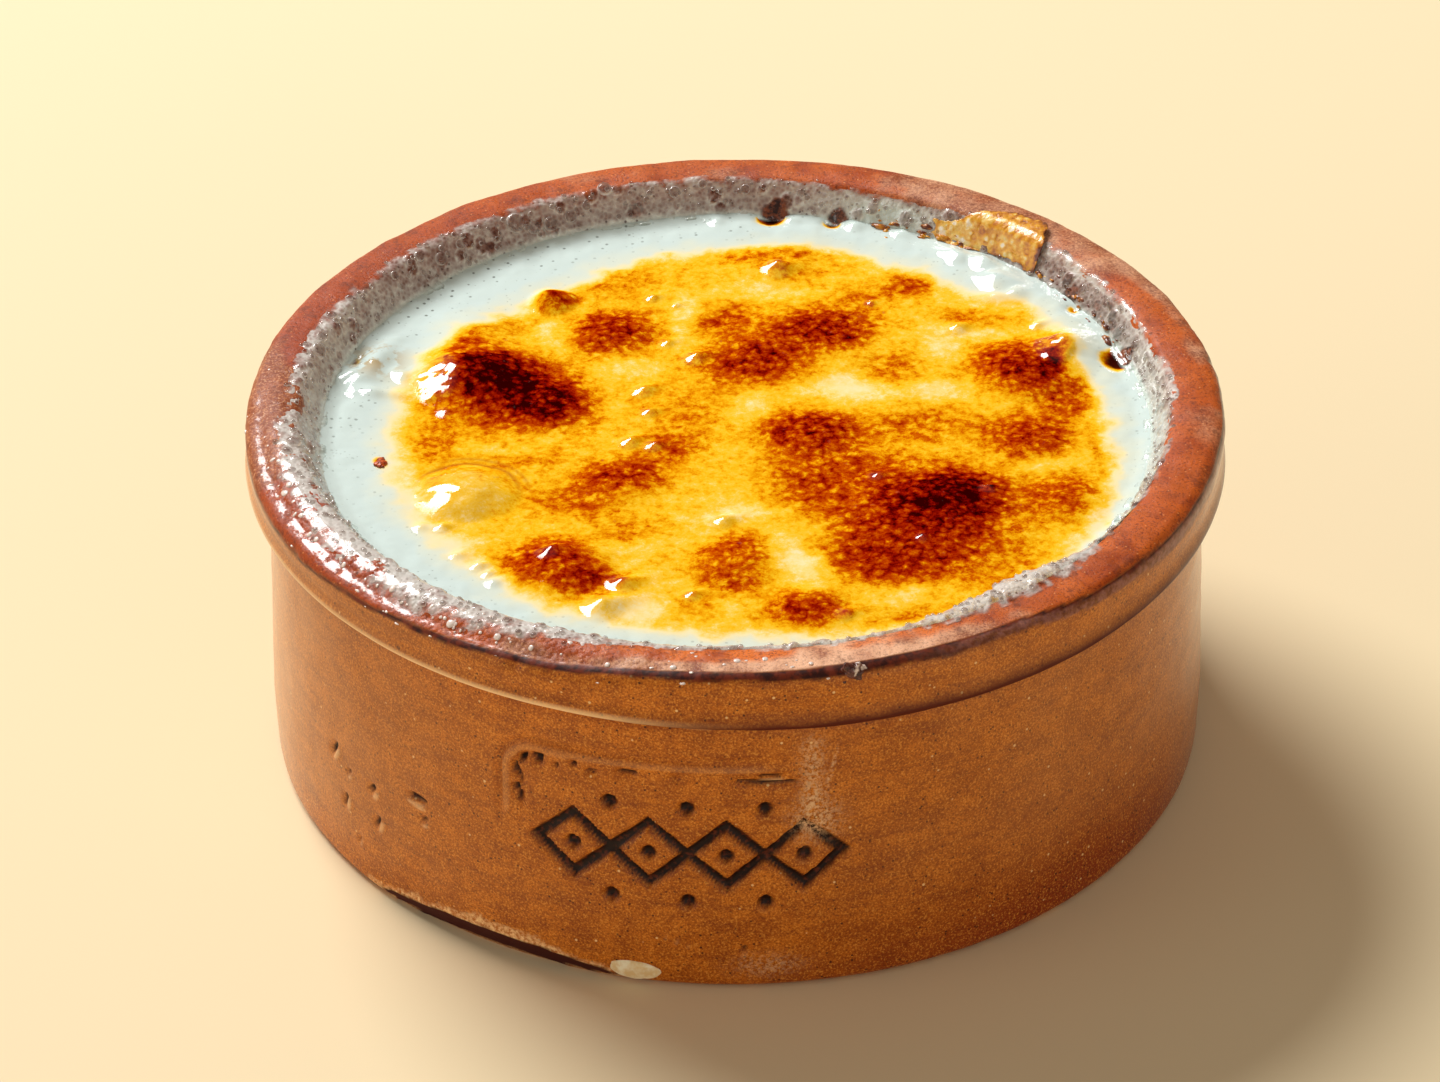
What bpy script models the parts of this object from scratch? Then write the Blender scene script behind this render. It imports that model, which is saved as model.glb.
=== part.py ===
"""A dish of om ali: a glazed clay ramekin full of baked milk pudding, with a flake of crust on its rim.

Metres, +Z up. The origin is the middle of the flat base, and -Y is the front, where the ornament is.
Bearings are in degrees from the front, positive towards +X.
"""

import math

import bmesh
import bpy
from mathutils import Matrix, Vector

SEGMENTS = 80
GAP = 0.0003

# The clay dish, outside.
DISH_HEIGHT = 0.0464
RIM_RADIUS = 0.0600
OUTER_LIP_RADIUS = 0.0018
CROWN_DROP = 0.00015
COLLAR_LOW_EDGE = 0.0394
COLLAR_EDGE_RADIUS = 0.0008
BODY_TOP_RADIUS = 0.05745
BODY_TOP = 0.0382
BODY_BULGE_RADIUS = 0.0585
BODY_BULGE_HEIGHT = 0.0080
FOOT_RADIUS = 0.0583
FOOT_ROUNDING = 0.0014

# The clay dish, inside.
FLOOR_THICKNESS = 0.0065
FLOOR_CORNER_RADIUS = 0.0050
WELL_LOW_RADIUS = 0.0490
WELL_TOP_RADIUS = 0.0510
FLARE_START = 0.0410
LIP_INNER_RADIUS = 0.0015
LIP_CENTRE_RADIUS = 0.0546

# The sliver trimmed off the front left of the foot.
TRIM_BEARING = -35.0
TRIM_HALF_ANGLE = 18.0
TRIM_SLOPE = 33.0
TRIM_BLOCK = (0.080, 0.014, 0.010)

# The ornament pressed into the front: a chain of lozenges with dots.
LOZENGE_COUNT = 4
LOZENGE_WIDTH = 0.0092
LOZENGE_HEIGHT = 0.0084
CHAIN_START = -0.0247
CHAIN_LEVEL = 0.0194
GROOVE_RADIUS = 0.0009
GROOVE_PROUD = 0.0002
DOT_RADIUS = 0.0011
OUTER_DOT_OFFSET = 0.0066

# The pudding.
PUDDING_LEVEL = 0.0418
PUDDING_RINGS = 15
# Swellings of the skin: x, y, reach and rise.
SWELLINGS = (
    (-0.0332, -0.0150, 0.0068, 0.0013),
    (-0.0230, 0.0300, 0.0034, 0.0008),
    (-0.0290, 0.0090, 0.0110, 0.0005),
    (0.0230, -0.0205, 0.0140, 0.0003),
    (0.0080, 0.0205, 0.0120, 0.0003),
    (0.0380, 0.0120, 0.0085, 0.0004),
    (-0.0210, -0.0300, 0.0080, 0.0004),
)
RIPPLE_HEIGHT = 0.0001
RIPPLE_LENGTH = 0.0110

# The flake of crust that lies over the inner lip, at the back right.
FLAKE_START = 147.0
FLAKE_END = 133.0
FLAKE_THICKNESS = 0.0011
FLAKE_CLEARANCE = 0.0005
FLAKE_LOW_LEVEL = 0.0432
FLAKE_REACH = 0.0565
FLAKE_STEPS = (12, 8)


def clear_scene():
    for thing in list(bpy.data.objects):
        bpy.data.objects.remove(thing, do_unlink=True)


def new_collection(name):
    collection = bpy.data.collections.new(name)
    bpy.context.scene.collection.children.link(collection)
    return collection


def new_material(name, colour, roughness):
    material = bpy.data.materials.new(name)
    material.use_nodes = True
    shader = material.node_tree.nodes["Principled BSDF"]
    shader.inputs["Base Color"].default_value = (*colour, 1.0)
    shader.inputs["Roughness"].default_value = roughness
    shader.inputs["Metallic"].default_value = 0.0
    return material


def mesh_object(name, mesh, collection, material=None):
    thing = bpy.data.objects.new(name, mesh)
    collection.objects.link(thing)
    if material:
        mesh.materials.append(material)
    return thing


def arc(centre, radius, start, end, steps):
    """Points (r, z) round an arc, both ends included, with the angles in degrees from +r towards +z."""
    angles = [math.radians(start + (end - start) * step / steps) for step in range(steps + 1)]
    return [(centre[0] + radius * math.cos(a), centre[1] + radius * math.sin(a)) for a in angles]


def around(radius, bearing, height):
    """The point at this distance from the dish's axis."""
    angle = math.radians(bearing)
    return Vector((radius * math.sin(angle), -radius * math.cos(angle), height))


def body_radius(height):
    """The outer wall's radius below the collar: a straight taper that is widest near the foot."""
    share = (BODY_TOP - height) / (BODY_TOP - BODY_BULGE_HEIGHT)
    return BODY_TOP_RADIUS + (BODY_BULGE_RADIUS - BODY_TOP_RADIUS) * min(max(share, 0.0), 1.0)


def lip_centre():
    return LIP_CENTRE_RADIUS, DISH_HEIGHT - CROWN_DROP - LIP_INNER_RADIUS


def flare_angle():
    """The direction, in degrees, that the flared wall below the lip faces."""
    rise = lip_centre()[1] - FLARE_START
    run = lip_centre()[0] - LIP_INNER_RADIUS - WELL_TOP_RADIUS
    return 180.0 - math.degrees(math.atan2(run, rise))


def well_profile(inset):
    """The inside of the dish below the flare, from the floor's middle outwards, moved in by inset."""
    corner = (WELL_LOW_RADIUS - FLOOR_CORNER_RADIUS, FLOOR_THICKNESS + FLOOR_CORNER_RADIUS)
    bend = arc(corner, FLOOR_CORNER_RADIUS - inset, -90.0, 0.0, 4)
    return [(0.0, FLOOR_THICKNESS + inset), *bend, (WELL_TOP_RADIUS - inset, FLARE_START)]


def dish_profile():
    """The dish's outline, from the middle of the floor over the rim to the middle of the base."""
    lip = arc(lip_centre(), LIP_INNER_RADIUS, flare_angle(), 90.0, 3)
    crown = [(0.5 * (LIP_CENTRE_RADIUS + RIM_RADIUS - OUTER_LIP_RADIUS), DISH_HEIGHT)]
    outer_centre = (RIM_RADIUS - OUTER_LIP_RADIUS, DISH_HEIGHT - CROWN_DROP - OUTER_LIP_RADIUS)
    outer_lip = arc(outer_centre, OUTER_LIP_RADIUS, 90.0, 0.0, 4)
    edge_centre = (RIM_RADIUS - COLLAR_EDGE_RADIUS, COLLAR_LOW_EDGE + COLLAR_EDGE_RADIUS)
    collar_edge = arc(edge_centre, COLLAR_EDGE_RADIUS, 0.0, -80.0, 3)
    body = [(BODY_TOP_RADIUS + 0.0004, COLLAR_LOW_EDGE - 0.0004), (BODY_TOP_RADIUS, BODY_TOP)]
    body.append((BODY_BULGE_RADIUS, BODY_BULGE_HEIGHT))
    foot = arc((FOOT_RADIUS - FOOT_ROUNDING, FOOT_ROUNDING), FOOT_ROUNDING, 0.0, -90.0, 3)
    return [*well_profile(0.0), *lip, *crown, *outer_lip, *collar_edge, *body, *foot, (0.0, 0.0)]


def turned(name, profile, collection, material):
    """A solid turned about Z. The profile runs up its inner side and down its outer side."""
    mesh = bpy.data.meshes.new(name)
    points = [(radius, 0.0, height) for radius, height in profile]
    edges = [(index, index + 1) for index in range(len(points) - 1)]
    mesh.from_pydata(points, edges, [])
    thing = mesh_object(name, mesh, collection, material)
    screw = thing.modifiers.new("Turn", "SCREW")
    screw.steps = SEGMENTS
    screw.render_steps = SEGMENTS
    screw.use_merge_vertices = True
    screw.merge_threshold = 0.00001
    screw.use_smooth_shade = True
    return thing


def made_mesh(thing):
    """The object's evaluated mesh, as a new mesh with its doubles merged."""
    bpy.context.view_layer.update()
    graph = bpy.context.evaluated_depsgraph_get()
    mesh = bpy.data.meshes.new_from_object(thing.evaluated_get(graph))
    form = bmesh.new()
    form.from_mesh(mesh)
    bmesh.ops.remove_doubles(form, verts=form.verts, dist=0.000005)
    form.to_mesh(mesh)
    form.free()
    return mesh


def as_cutter(thing):
    thing.hide_render = True
    thing.display_type = "WIRE"
    return thing


def cut(target, cutter):
    boolean = target.modifiers.new("Cut " + cutter.name, "BOOLEAN")
    boolean.operation = "DIFFERENCE"
    boolean.solver = "EXACT"
    boolean.object = cutter


def foot_trim(cutters):
    """A tilted block whose upper face takes the sliver off the foot's edge."""
    width, depth, height = TRIM_BLOCK
    outwards = around(1.0, TRIM_BEARING, 0.0)
    slope = math.radians(TRIM_SLOPE)
    uphill = outwards * math.cos(slope) + Vector((0.0, 0.0, math.sin(slope)))
    along = Vector((0.0, 0.0, 1.0)).cross(outwards)
    facing = along.cross(uphill) * -1.0
    chord = outwards * (FOOT_RADIUS * math.cos(math.radians(TRIM_HALF_ANGLE)))
    centre = chord + uphill * (0.35 * depth) - facing * (0.5 * height)
    turn = Matrix((along, uphill, facing)).transposed().to_4x4()
    form = bmesh.new()
    bmesh.ops.create_cube(form, size=1.0)
    bmesh.ops.scale(form, vec=(width, depth, height), verts=form.verts)
    bmesh.ops.transform(form, matrix=Matrix.Translation(centre) @ turn, verts=form.verts)
    bmesh.ops.recalc_face_normals(form, faces=form.faces)
    mesh = bpy.data.meshes.new("foot_trim")
    form.to_mesh(mesh)
    form.free()
    return as_cutter(mesh_object("foot_trim", mesh, cutters))


def on_front(along, height, proud):
    """The point on the outer wall at this arc length from the front's middle line."""
    radius = body_radius(height)
    return around(radius + proud, math.degrees(along / radius), height)


def zigzag(name, first_side, cutters):
    """A tube along every other side of the lozenges: two of them cross into the chain."""
    curve = bpy.data.curves.new(name, "CURVE")
    curve.dimensions = "3D"
    curve.bevel_depth = GROOVE_RADIUS
    curve.bevel_resolution = 2
    curve.use_fill_caps = True
    spline = curve.splines.new("POLY")
    corners = 2 * LOZENGE_COUNT + 1
    spline.points.add(corners - 1)
    for corner, point in enumerate(spline.points):
        side = (0.0, 1.0, 0.0, -1.0)[corner % 4] * first_side
        along = CHAIN_START + 0.5 * LOZENGE_WIDTH * corner
        height = CHAIN_LEVEL + 0.5 * LOZENGE_HEIGHT * side
        point.co = (*on_front(along, height, GROOVE_PROUD), 1.0)
    tube = bpy.data.objects.new(name + "_path", curve)
    cutters.objects.link(tube)
    mesh = made_mesh(tube)
    mesh.name = name
    bpy.data.objects.remove(tube, do_unlink=True)
    return as_cutter(mesh_object(name, mesh, cutters))


def dot_places():
    """One dot in each lozenge, and one above and below each place where two meet."""
    middles = [CHAIN_START + LOZENGE_WIDTH * (index + 0.5) for index in range(LOZENGE_COUNT)]
    places = [(along, CHAIN_LEVEL) for along in middles]
    for index in range(1, LOZENGE_COUNT):
        along = CHAIN_START + LOZENGE_WIDTH * index
        places += [(along, CHAIN_LEVEL + OUTER_DOT_OFFSET), (along, CHAIN_LEVEL - OUTER_DOT_OFFSET)]
    return places


def ornament_dots(cutters):
    form = bmesh.new()
    for along, height in dot_places():
        place = Matrix.Translation(on_front(along, height, 0.0))
        bmesh.ops.create_uvsphere(form, u_segments=8, v_segments=6, radius=DOT_RADIUS, matrix=place)
    mesh = bpy.data.meshes.new("ornament_dots")
    form.to_mesh(mesh)
    form.free()
    return as_cutter(mesh_object("ornament_dots", mesh, cutters))


def make_dish(parts, cutters):
    clay = new_material("glazed_clay", (0.32, 0.12, 0.03), 0.3)
    dish = turned("dish", dish_profile(), parts, clay)
    cut(dish, foot_trim(cutters))
    cut(dish, zigzag("ornament_rising", 1.0, cutters))
    cut(dish, zigzag("ornament_falling", -1.0, cutters))
    cut(dish, ornament_dots(cutters))
    return dish


def skin_rise(x, y):
    """How far the pudding's skin stands above its level: low swellings and a faint ripple."""
    ripple = math.sin(x / RIPPLE_LENGTH * 2.1 + 0.7) * math.cos(y / RIPPLE_LENGTH * 1.7 - 0.4)
    rise = RIPPLE_HEIGHT * ripple
    for place_x, place_y, reach, height in SWELLINGS:
        distance = math.hypot(x - place_x, y - place_y) / reach
        rise += height * max(0.0, 1.0 - distance * distance) ** 2 * (1.0 + distance * distance)
    return rise


def pudding_edge():
    """The radius where the skin meets the flared wall, less the gap."""
    share = (PUDDING_LEVEL - FLARE_START) / (lip_centre()[1] - FLARE_START)
    wall = WELL_TOP_RADIUS + share * (LIP_CENTRE_RADIUS - LIP_INNER_RADIUS - WELL_TOP_RADIUS)
    return wall - 1.5 * GAP


def make_pudding(parts):
    """The pudding fills the well. Its skin is turned flat and then raised at the swellings."""
    custard = new_material("baked_pudding", (0.85, 0.52, 0.10), 0.35)
    edge = pudding_edge()
    rings = [(edge * ring / PUDDING_RINGS, PUDDING_LEVEL) for ring in range(PUDDING_RINGS, -1, -1)]
    upwards = [*well_profile(GAP), *rings]
    solid = turned("pudding_blank", upwards[::-1], parts, None)
    mesh = made_mesh(solid)
    bpy.data.objects.remove(solid, do_unlink=True)
    mesh.name = "pudding"
    for vertex in mesh.vertices:
        if vertex.co.z > PUDDING_LEVEL - GAP:
            distance = math.hypot(vertex.co.x, vertex.co.y) / edge
            vertex.co.z += skin_rise(vertex.co.x, vertex.co.y) * min(1.0, 6.0 * (1.0 - distance))
    return mesh_object("pudding", mesh, parts, custard)


def flake_path():
    """The line (r, z) that the flake's underside follows: up the flare, round the lip and over the crown."""
    low = FLAKE_LOW_LEVEL
    angle = math.radians(flare_angle())
    bend = arc(lip_centre(), LIP_INNER_RADIUS + FLAKE_CLEARANCE, flare_angle(), 90.0, 6)
    start = bend[0]
    run = (start[1] - low) * math.cos(angle) / math.sin(angle)
    foot = (start[0] + run, low)
    end = (FLAKE_REACH, DISH_HEIGHT + FLAKE_CLEARANCE)
    return [foot, *bend, end]


def along_path(path, share):
    """The point at this share of the path's length."""
    lengths = [math.dist(first, second) for first, second in zip(path, path[1:])]
    left = share * sum(lengths)
    for first, second, length in zip(path, path[1:], lengths):
        if left <= length or second is path[-1]:
            part = left / length
            return tuple(a + (b - a) * part for a, b in zip(first, second))
        left -= length


def flake_span(share):
    """Where across the path the flake starts and ends: a wedge, narrow at its left end."""
    start = 0.02 + 0.12 * share + 0.03 * math.sin(9.0 * share)
    end = 0.42 + 0.55 * math.sin(0.5 * math.pi * min(1.0, 1.35 * share)) + 0.03 * math.sin(17.0 * share)
    return start, min(end, 1.0)


def make_flake(parts):
    """A crisp sheet laid over the lip, given its thickness by Solidify."""
    crust = new_material("crust", (0.72, 0.32, 0.05), 0.5)
    across, up = FLAKE_STEPS
    form = bmesh.new()
    bmesh.ops.create_grid(form, x_segments=across, y_segments=up, size=0.5)
    path = flake_path()
    for vertex in form.verts:
        share = vertex.co.x + 0.5
        start, end = flake_span(share)
        radius, height = along_path(path, start + (end - start) * (vertex.co.y + 0.5))
        lift = 0.0003 * (1.0 + math.sin(23.0 * share + 9.0 * vertex.co.y))
        bearing = FLAKE_START + (FLAKE_END - FLAKE_START) * share
        vertex.co = around(radius, bearing, height + lift)
    bmesh.ops.recalc_face_normals(form, faces=form.faces)
    if sum(face.normal.z for face in form.faces) < 0.0:
        bmesh.ops.reverse_faces(form, faces=form.faces)
    mesh = bpy.data.meshes.new("crust_flake")
    form.to_mesh(mesh)
    form.free()
    flake = mesh_object("crust_flake", mesh, parts, crust)
    sheet = flake.modifiers.new("Thickness", "SOLIDIFY")
    sheet.thickness = FLAKE_THICKNESS
    sheet.offset = 1.0
    return flake


def main():
    clear_scene()
    parts = new_collection("dish_of_om_ali")
    cutters = new_collection("cutters")
    make_dish(parts, cutters)
    make_pudding(parts)
    make_flake(parts)


main()
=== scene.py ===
"""The looks of a dish of om ali: a baked milk pudding with a scorched skin in a glazed clay ramekin.

Shapes are worked out in millimetres and turned into metres when a mesh is made. A bearing is an angle
round the dish in degrees: 0 at the front, positive towards +X, and 180 at the back.
"""

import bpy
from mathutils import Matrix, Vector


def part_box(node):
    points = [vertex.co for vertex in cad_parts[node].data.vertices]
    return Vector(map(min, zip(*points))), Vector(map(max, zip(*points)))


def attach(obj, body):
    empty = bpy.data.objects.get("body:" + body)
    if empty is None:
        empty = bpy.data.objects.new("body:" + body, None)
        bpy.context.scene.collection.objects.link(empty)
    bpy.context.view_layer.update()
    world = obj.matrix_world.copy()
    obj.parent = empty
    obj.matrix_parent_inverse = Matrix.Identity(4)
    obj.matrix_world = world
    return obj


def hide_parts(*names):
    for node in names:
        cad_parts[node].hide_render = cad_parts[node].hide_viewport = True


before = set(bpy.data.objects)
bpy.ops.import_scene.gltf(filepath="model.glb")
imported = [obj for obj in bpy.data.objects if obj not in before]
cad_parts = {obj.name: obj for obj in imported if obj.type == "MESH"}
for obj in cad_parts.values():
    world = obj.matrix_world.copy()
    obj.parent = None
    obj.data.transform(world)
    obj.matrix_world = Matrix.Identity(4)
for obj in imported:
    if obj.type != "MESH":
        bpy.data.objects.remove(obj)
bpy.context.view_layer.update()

import itertools
import math

import bmesh
import bpy
import numpy as np
from mathutils import Matrix, Vector

MM = 0.001

# Further off than anything that matters.
FAR = 9.0

# Sizes that the frame gives, in millimetres.
_, dish_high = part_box("dish")
RIM = dish_high.x / MM
HEIGHT = dish_high.z / MM

# The pudding's level and the clay's outline.
LEVEL = HEIGHT - 4.6
LIP_R, LIP_ROUND = RIM - 5.4, 1.5
OUTER_R, OUTER_ROUND = RIM - 1.8, 1.8
CROWN_R, CROWN_DROP = 0.5 * (LIP_R + OUTER_R), 0.15
FLARE_R, FLARE_Z = RIM - 9.0, HEIGHT - 5.4
COLLAR_Z, COLLAR_ROUND = HEIGHT - 7.0, 0.8
BODY_TOP_R, BODY_TOP_Z = RIM - 2.55, HEIGHT - 8.2
BULGE_R, BULGE_Z = RIM - 1.5, 8.0
FOOT_R, FOOT_ROUND = RIM - 1.7, 1.4
FLOOR_Z, FLOOR_ROUND, WELL_R = 6.5, 5.0, 49.0
FLOOR_MIDDLE_R = 12.0

# The front, with its ornament and pits, has finer columns than the rest. All in degrees.
FINE_FROM, FINE_TO, FINE_STEP = -60.0, 22.0, 0.33
COARSE_COLUMNS = 335

# The pressed ornament, as arc lengths along the front and heights.
CHAIN_START, CHAIN_Z = -24.7, 19.4
LOZENGE_COUNT, LOZENGE_WIDE, LOZENGE_HIGH = 4, 9.2, 8.4
STAMP_MIDDLE, STAMP_HALF, STAMP_CORNER = (-6.4, 21.8), (22.2, 9.8), 4.0

# The sliver trimmed off the foot.
TRIM_BEARING, TRIM_HALF_ANGLE, TRIM_SLOPE, CUT_SLOPE = -31.0, 22.0, 33.0, 66.0


# ---------------------------------------------------------------- numbers


def smooth(low, high, value):
    """0 below low, 1 above high, and an easy curve between."""
    share = np.clip((value - low) / (high - low), 0.0, 1.0)
    return share * share * (3.0 - 2.0 * share)


def between(value, start, rise_end, fall_start, end):
    """Eases from 0 at start up to 1, and back down to 0 at end."""
    return smooth(start, rise_end, value) * smooth(end, fall_start, value)


def bell(distance, width):
    """1 at a distance of 0, and 0.37 this width away."""
    return np.exp(-((distance / width) ** 2))


def turn_between(bearings, middle):
    """The signed angle from middle to each bearing, from -180 to 180."""
    return (np.asarray(bearings) - middle + 180.0) % 360.0 - 180.0


def about(bearings, middle, width):
    """1 at this bearing, and less the further from it, over this many degrees."""
    return bell(turn_between(bearings, middle), width)


def round_wall(bearings, middle, radius):
    """The distance from one bearing to others, round a wall of this radius."""
    return np.radians(turn_between(bearings, middle)) * radius


def bearing_of(x, y):
    return np.degrees(np.arctan2(x, -y))


def flat(x, y):
    """Points to read noise at, on a level plane."""
    return np.stack([x, y, 0.0 * x], axis=-1)


def turned(x, y, degrees):
    """The same offsets along axes turned by this angle."""
    angle = math.radians(degrees)
    return x * math.cos(angle) + y * math.sin(angle), y * math.cos(angle) - x * math.sin(angle)


def dome(distance, radius):
    """A round bubble's rise, 1 in its middle and 0 beyond its radius."""
    return np.sqrt(np.clip(1.0 - (distance / radius) ** 2, 0.0, 1.0))


def hashed(cell, seed):
    """A repeatable number from 0 to 1 for each lattice cell."""
    mixed = cell[..., 0] * 73856093 ^ cell[..., 1] * 19349663 ^ cell[..., 2] * 83492791 ^ seed * 2654435761
    mixed = mixed & 0xFFFFFFFF
    mixed = ((mixed ^ (mixed >> 15)) * 224682251) & 0xFFFFFFFF
    mixed = ((mixed ^ (mixed >> 13)) * 326648991) & 0xFFFFFFFF
    return ((mixed ^ (mixed >> 16)) & 0xFFFFFF) / 0xFFFFFF


def noise(places, size, seed=0):
    """Smooth lumps of about this size, from -1 to 1."""
    scaled = places / size
    cell = np.floor(scaled).astype(np.int64)
    part = scaled - cell
    part = part * part * (3.0 - 2.0 * part)
    total = np.zeros(places.shape[:-1])
    for corner in itertools.product((0, 1), repeat=3):
        weight = np.prod(np.where(corner, part, 1.0 - part), axis=-1)
        total += weight * hashed(cell + np.array(corner), seed)
    return 2.0 * total - 1.0


def rough(places, size, octaves=3, seed=0):
    """Lumps with finer lumps on them."""
    layers = [noise(places, size / 2.0**layer, seed + layer) / 2.0**layer for layer in range(octaves)]
    return sum(layers) / (2.0 - 2.0 ** (1 - octaves))


def cells(places, size, seed=0):
    """Distance to the nearest scattered point, the gap to the next one, and a number for the nearest."""
    scaled = places / size
    home = np.floor(scaled).astype(np.int64)
    nearest = np.full(places.shape[:-1], FAR)
    second = nearest.copy()
    name = np.zeros_like(nearest)
    for step in itertools.product((-1, 0, 1), repeat=3):
        cell = home + np.array(step)
        point = cell + np.stack([hashed(cell, seed + axis) for axis in range(3)], axis=-1)
        distance = np.linalg.norm(scaled - point, axis=-1)
        closer = distance < nearest
        second = np.where(closer, nearest, np.minimum(second, distance))
        name = np.where(closer, hashed(cell, seed + 7), name)
        nearest = np.minimum(nearest, distance)
    return nearest, second - nearest, name


def round_values(bearings, stops):
    """A smooth closed curve through (bearing, value) stops, read at these bearings."""
    at = np.array([stop[0] for stop in stops], float)
    value = np.array([stop[1] for stop in stops], float)
    at = np.concatenate([at - 360.0, at, at + 360.0])
    value = np.tile(value, 3)
    wanted = turn_between(bearings, 0.0)
    last = np.clip(np.searchsorted(at, wanted, side="right"), 1, len(at) - 1)
    share = (wanted - at[last - 1]) / (at[last] - at[last - 1])
    share = share * share * (3.0 - 2.0 * share)
    return value[last - 1] + (value[last] - value[last - 1]) * share


# ---------------------------------------------------------------- meshes


def arc(centre, radius, start, end, steps=10):
    angles = np.radians(np.linspace(start, end, steps + 1))
    return [(centre[0] + radius * math.cos(a), centre[1] + radius * math.sin(a)) for a in angles]


def run_lengths(points):
    """How far along the polyline each of its points lies."""
    return np.concatenate([[0.0], np.cumsum(np.linalg.norm(np.diff(points, axis=0), axis=1))])


def paced(points, spacing):
    """The polyline's points again, about spacing apart, without its last one."""
    points = np.array(points, float)
    lengths = run_lengths(points)
    count = max(1, round(lengths[-1] / spacing))
    wanted = np.linspace(0.0, lengths[-1], count + 1)[:-1]
    return np.stack([np.interp(wanted, lengths, points[:, axis]) for axis in (0, 1)], axis=1)


def facing(outline):
    """The outline's normals in the r-z plane, on the left of its run."""
    run = np.gradient(outline, axis=0)
    run /= np.linalg.norm(run, axis=1)[:, None]
    return np.stack([-run[:, 1], run[:, 0]], axis=1)


def wrapped(radius, bearings, heights):
    """Points at these distances from the axis."""
    angle = np.radians(bearings)
    return np.stack([radius * np.sin(angle), -radius * np.cos(angle), heights + 0.0 * angle], axis=-1)


def along_path(travel, points, lengths):
    """Radius, height and the outward direction in r and z, this far along a section's path."""
    slopes = facing(points)
    columns = (points[:, 0], points[:, 1], slopes[:, 0], slopes[:, 1])
    return [np.interp(travel, lengths, column) for column in columns]


def grid_faces(rows, columns):
    """Quads of an open grid, as an array."""
    index = np.arange(rows * columns).reshape(rows, columns)
    return np.stack([index[:-1, :-1], index[:-1, 1:], index[1:, 1:], index[1:, :-1]], axis=-1).reshape(-1, 4)


def ring_faces(rows, columns):
    """Quads of a grid whose last column joins its first."""
    row, column = np.meshgrid(np.arange(rows - 1), np.arange(columns), indexing="ij")
    after = (column + 1) % columns
    quads = [row * columns + column, row * columns + after]
    quads += [(row + 1) * columns + after, (row + 1) * columns + column]
    return np.stack(quads, axis=-1).reshape(-1, 4).tolist()


def fan(centre, ring, flipped):
    """Triangles from a middle point to a ring of points."""
    pairs = zip(ring, ring[1:] + ring[:1])
    return [(centre, b, a) if flipped else (centre, a, b) for a, b in pairs]


def piece(name, places, faces, finish, fields=None):
    """A mesh object of the dish, from points in millimetres, with values to colour it by."""
    mesh = bpy.data.meshes.new(name)
    mesh.from_pydata((settled(np.asarray(places)) * MM).tolist(), [], faces)
    for field, values in (fields or {}).items():
        layer = mesh.attributes.new(field, "FLOAT", "POINT")
        layer.data.foreach_set("value", np.asarray(values, np.float32).ravel())
    mesh.shade_smooth()
    mesh.materials.append(finish)
    return declared(placed(name, mesh))


def settled(places):
    """The points with the rim's shoulder sloped off at the front left and the collar sagged at the right."""
    radius = np.hypot(places[:, 0], places[:, 1])
    height = places[:, 2]
    bearings = bearing_of(places[:, 0], places[:, 1])
    sloped = between(bearings, -104.0, -72.0, -26.0, 0.0)
    down = 0.13 * np.clip(radius - RIM + 4.8, 0.0, 3.0) ** 2 * smooth(HEIGHT - 5.5, HEIGHT - 2.0, height)
    sag = 1.25 * between(bearings, -34.0, 24.0, 92.0, 122.0)
    sag = sag * bell(height - COLLAR_Z + 0.6, 2.3) * (radius > RIM - 5.0)
    return np.stack([places[:, 0], places[:, 1], height - sloped * down - sag], axis=1)


def placed(name, data):
    """A new object in the scene."""
    thing = bpy.data.objects.new(name, data)
    bpy.context.scene.collection.objects.link(thing)
    return thing


def declared(thing):
    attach(thing, "root")
    return thing


# ---------------------------------------------------------------- node trees


def srgb(red, green, blue):
    """A colour given as 0 to 255 on a screen, as Blender's linear one."""
    parts = [value / 255.0 for value in (red, green, blue)]
    return (*[v / 12.92 if v <= 0.04045 else ((v + 0.055) / 1.055) ** 2.4 for v in parts], 1.0)


class Value:
    """A number that runs through a node tree. Arithmetic on it adds Math nodes."""

    def __init__(self, tree, socket):
        self.tree = tree
        self.socket = socket

    def maths(self, operation, *others):
        return self.tree.node("ShaderNodeMath", {"operation": operation}, dict(enumerate((self, *others))))

    def __add__(self, other):
        return self.maths("ADD", other)

    def __sub__(self, other):
        return self.maths("SUBTRACT", other)

    def __mul__(self, other):
        return self.maths("MULTIPLY", other)

    def __rsub__(self, other):
        return self.maths("MULTIPLY_ADD", -1.0, other)

    __radd__ = __add__
    __rmul__ = __mul__

    def ramp(self, low, high):
        """0 at low, 1 at high, eased between."""
        limits = {0: self, 1: low, 2: high}
        return self.tree.node("ShaderNodeMapRange", {"interpolation_type": "SMOOTHSTEP"}, limits)

    def clamp(self):
        return self.tree.node("ShaderNodeClamp", None, {0: self})


class Tree:
    """A node tree under construction. node() adds any node and returns one of its outputs."""

    def __init__(self, tree):
        self.tree = tree

    def node(self, kind, settings=None, inputs=None, output=0):
        return Value(self, self.made(kind, settings, inputs).outputs[output])

    def made(self, kind, settings=None, inputs=None):
        """A new node, for its several outputs."""
        made = self.tree.nodes.new(kind)
        for name, value in (settings or {}).items():
            if name == "stops":
                self.set_stops(made.color_ramp, value)
            else:
                setattr(made, name, value)
        for name, value in (inputs or {}).items():
            if isinstance(value, Value):
                self.tree.links.new(value.socket, made.inputs[name])
            else:
                made.inputs[name].default_value = value
        return made

    def set_stops(self, ramp, stops):
        first, *rest, last = stops
        ramp.elements[0].position, ramp.elements[0].color = first
        ramp.elements[-1].position, ramp.elements[-1].color = last
        for position, colour in rest:
            ramp.elements.new(position).color = colour


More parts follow.
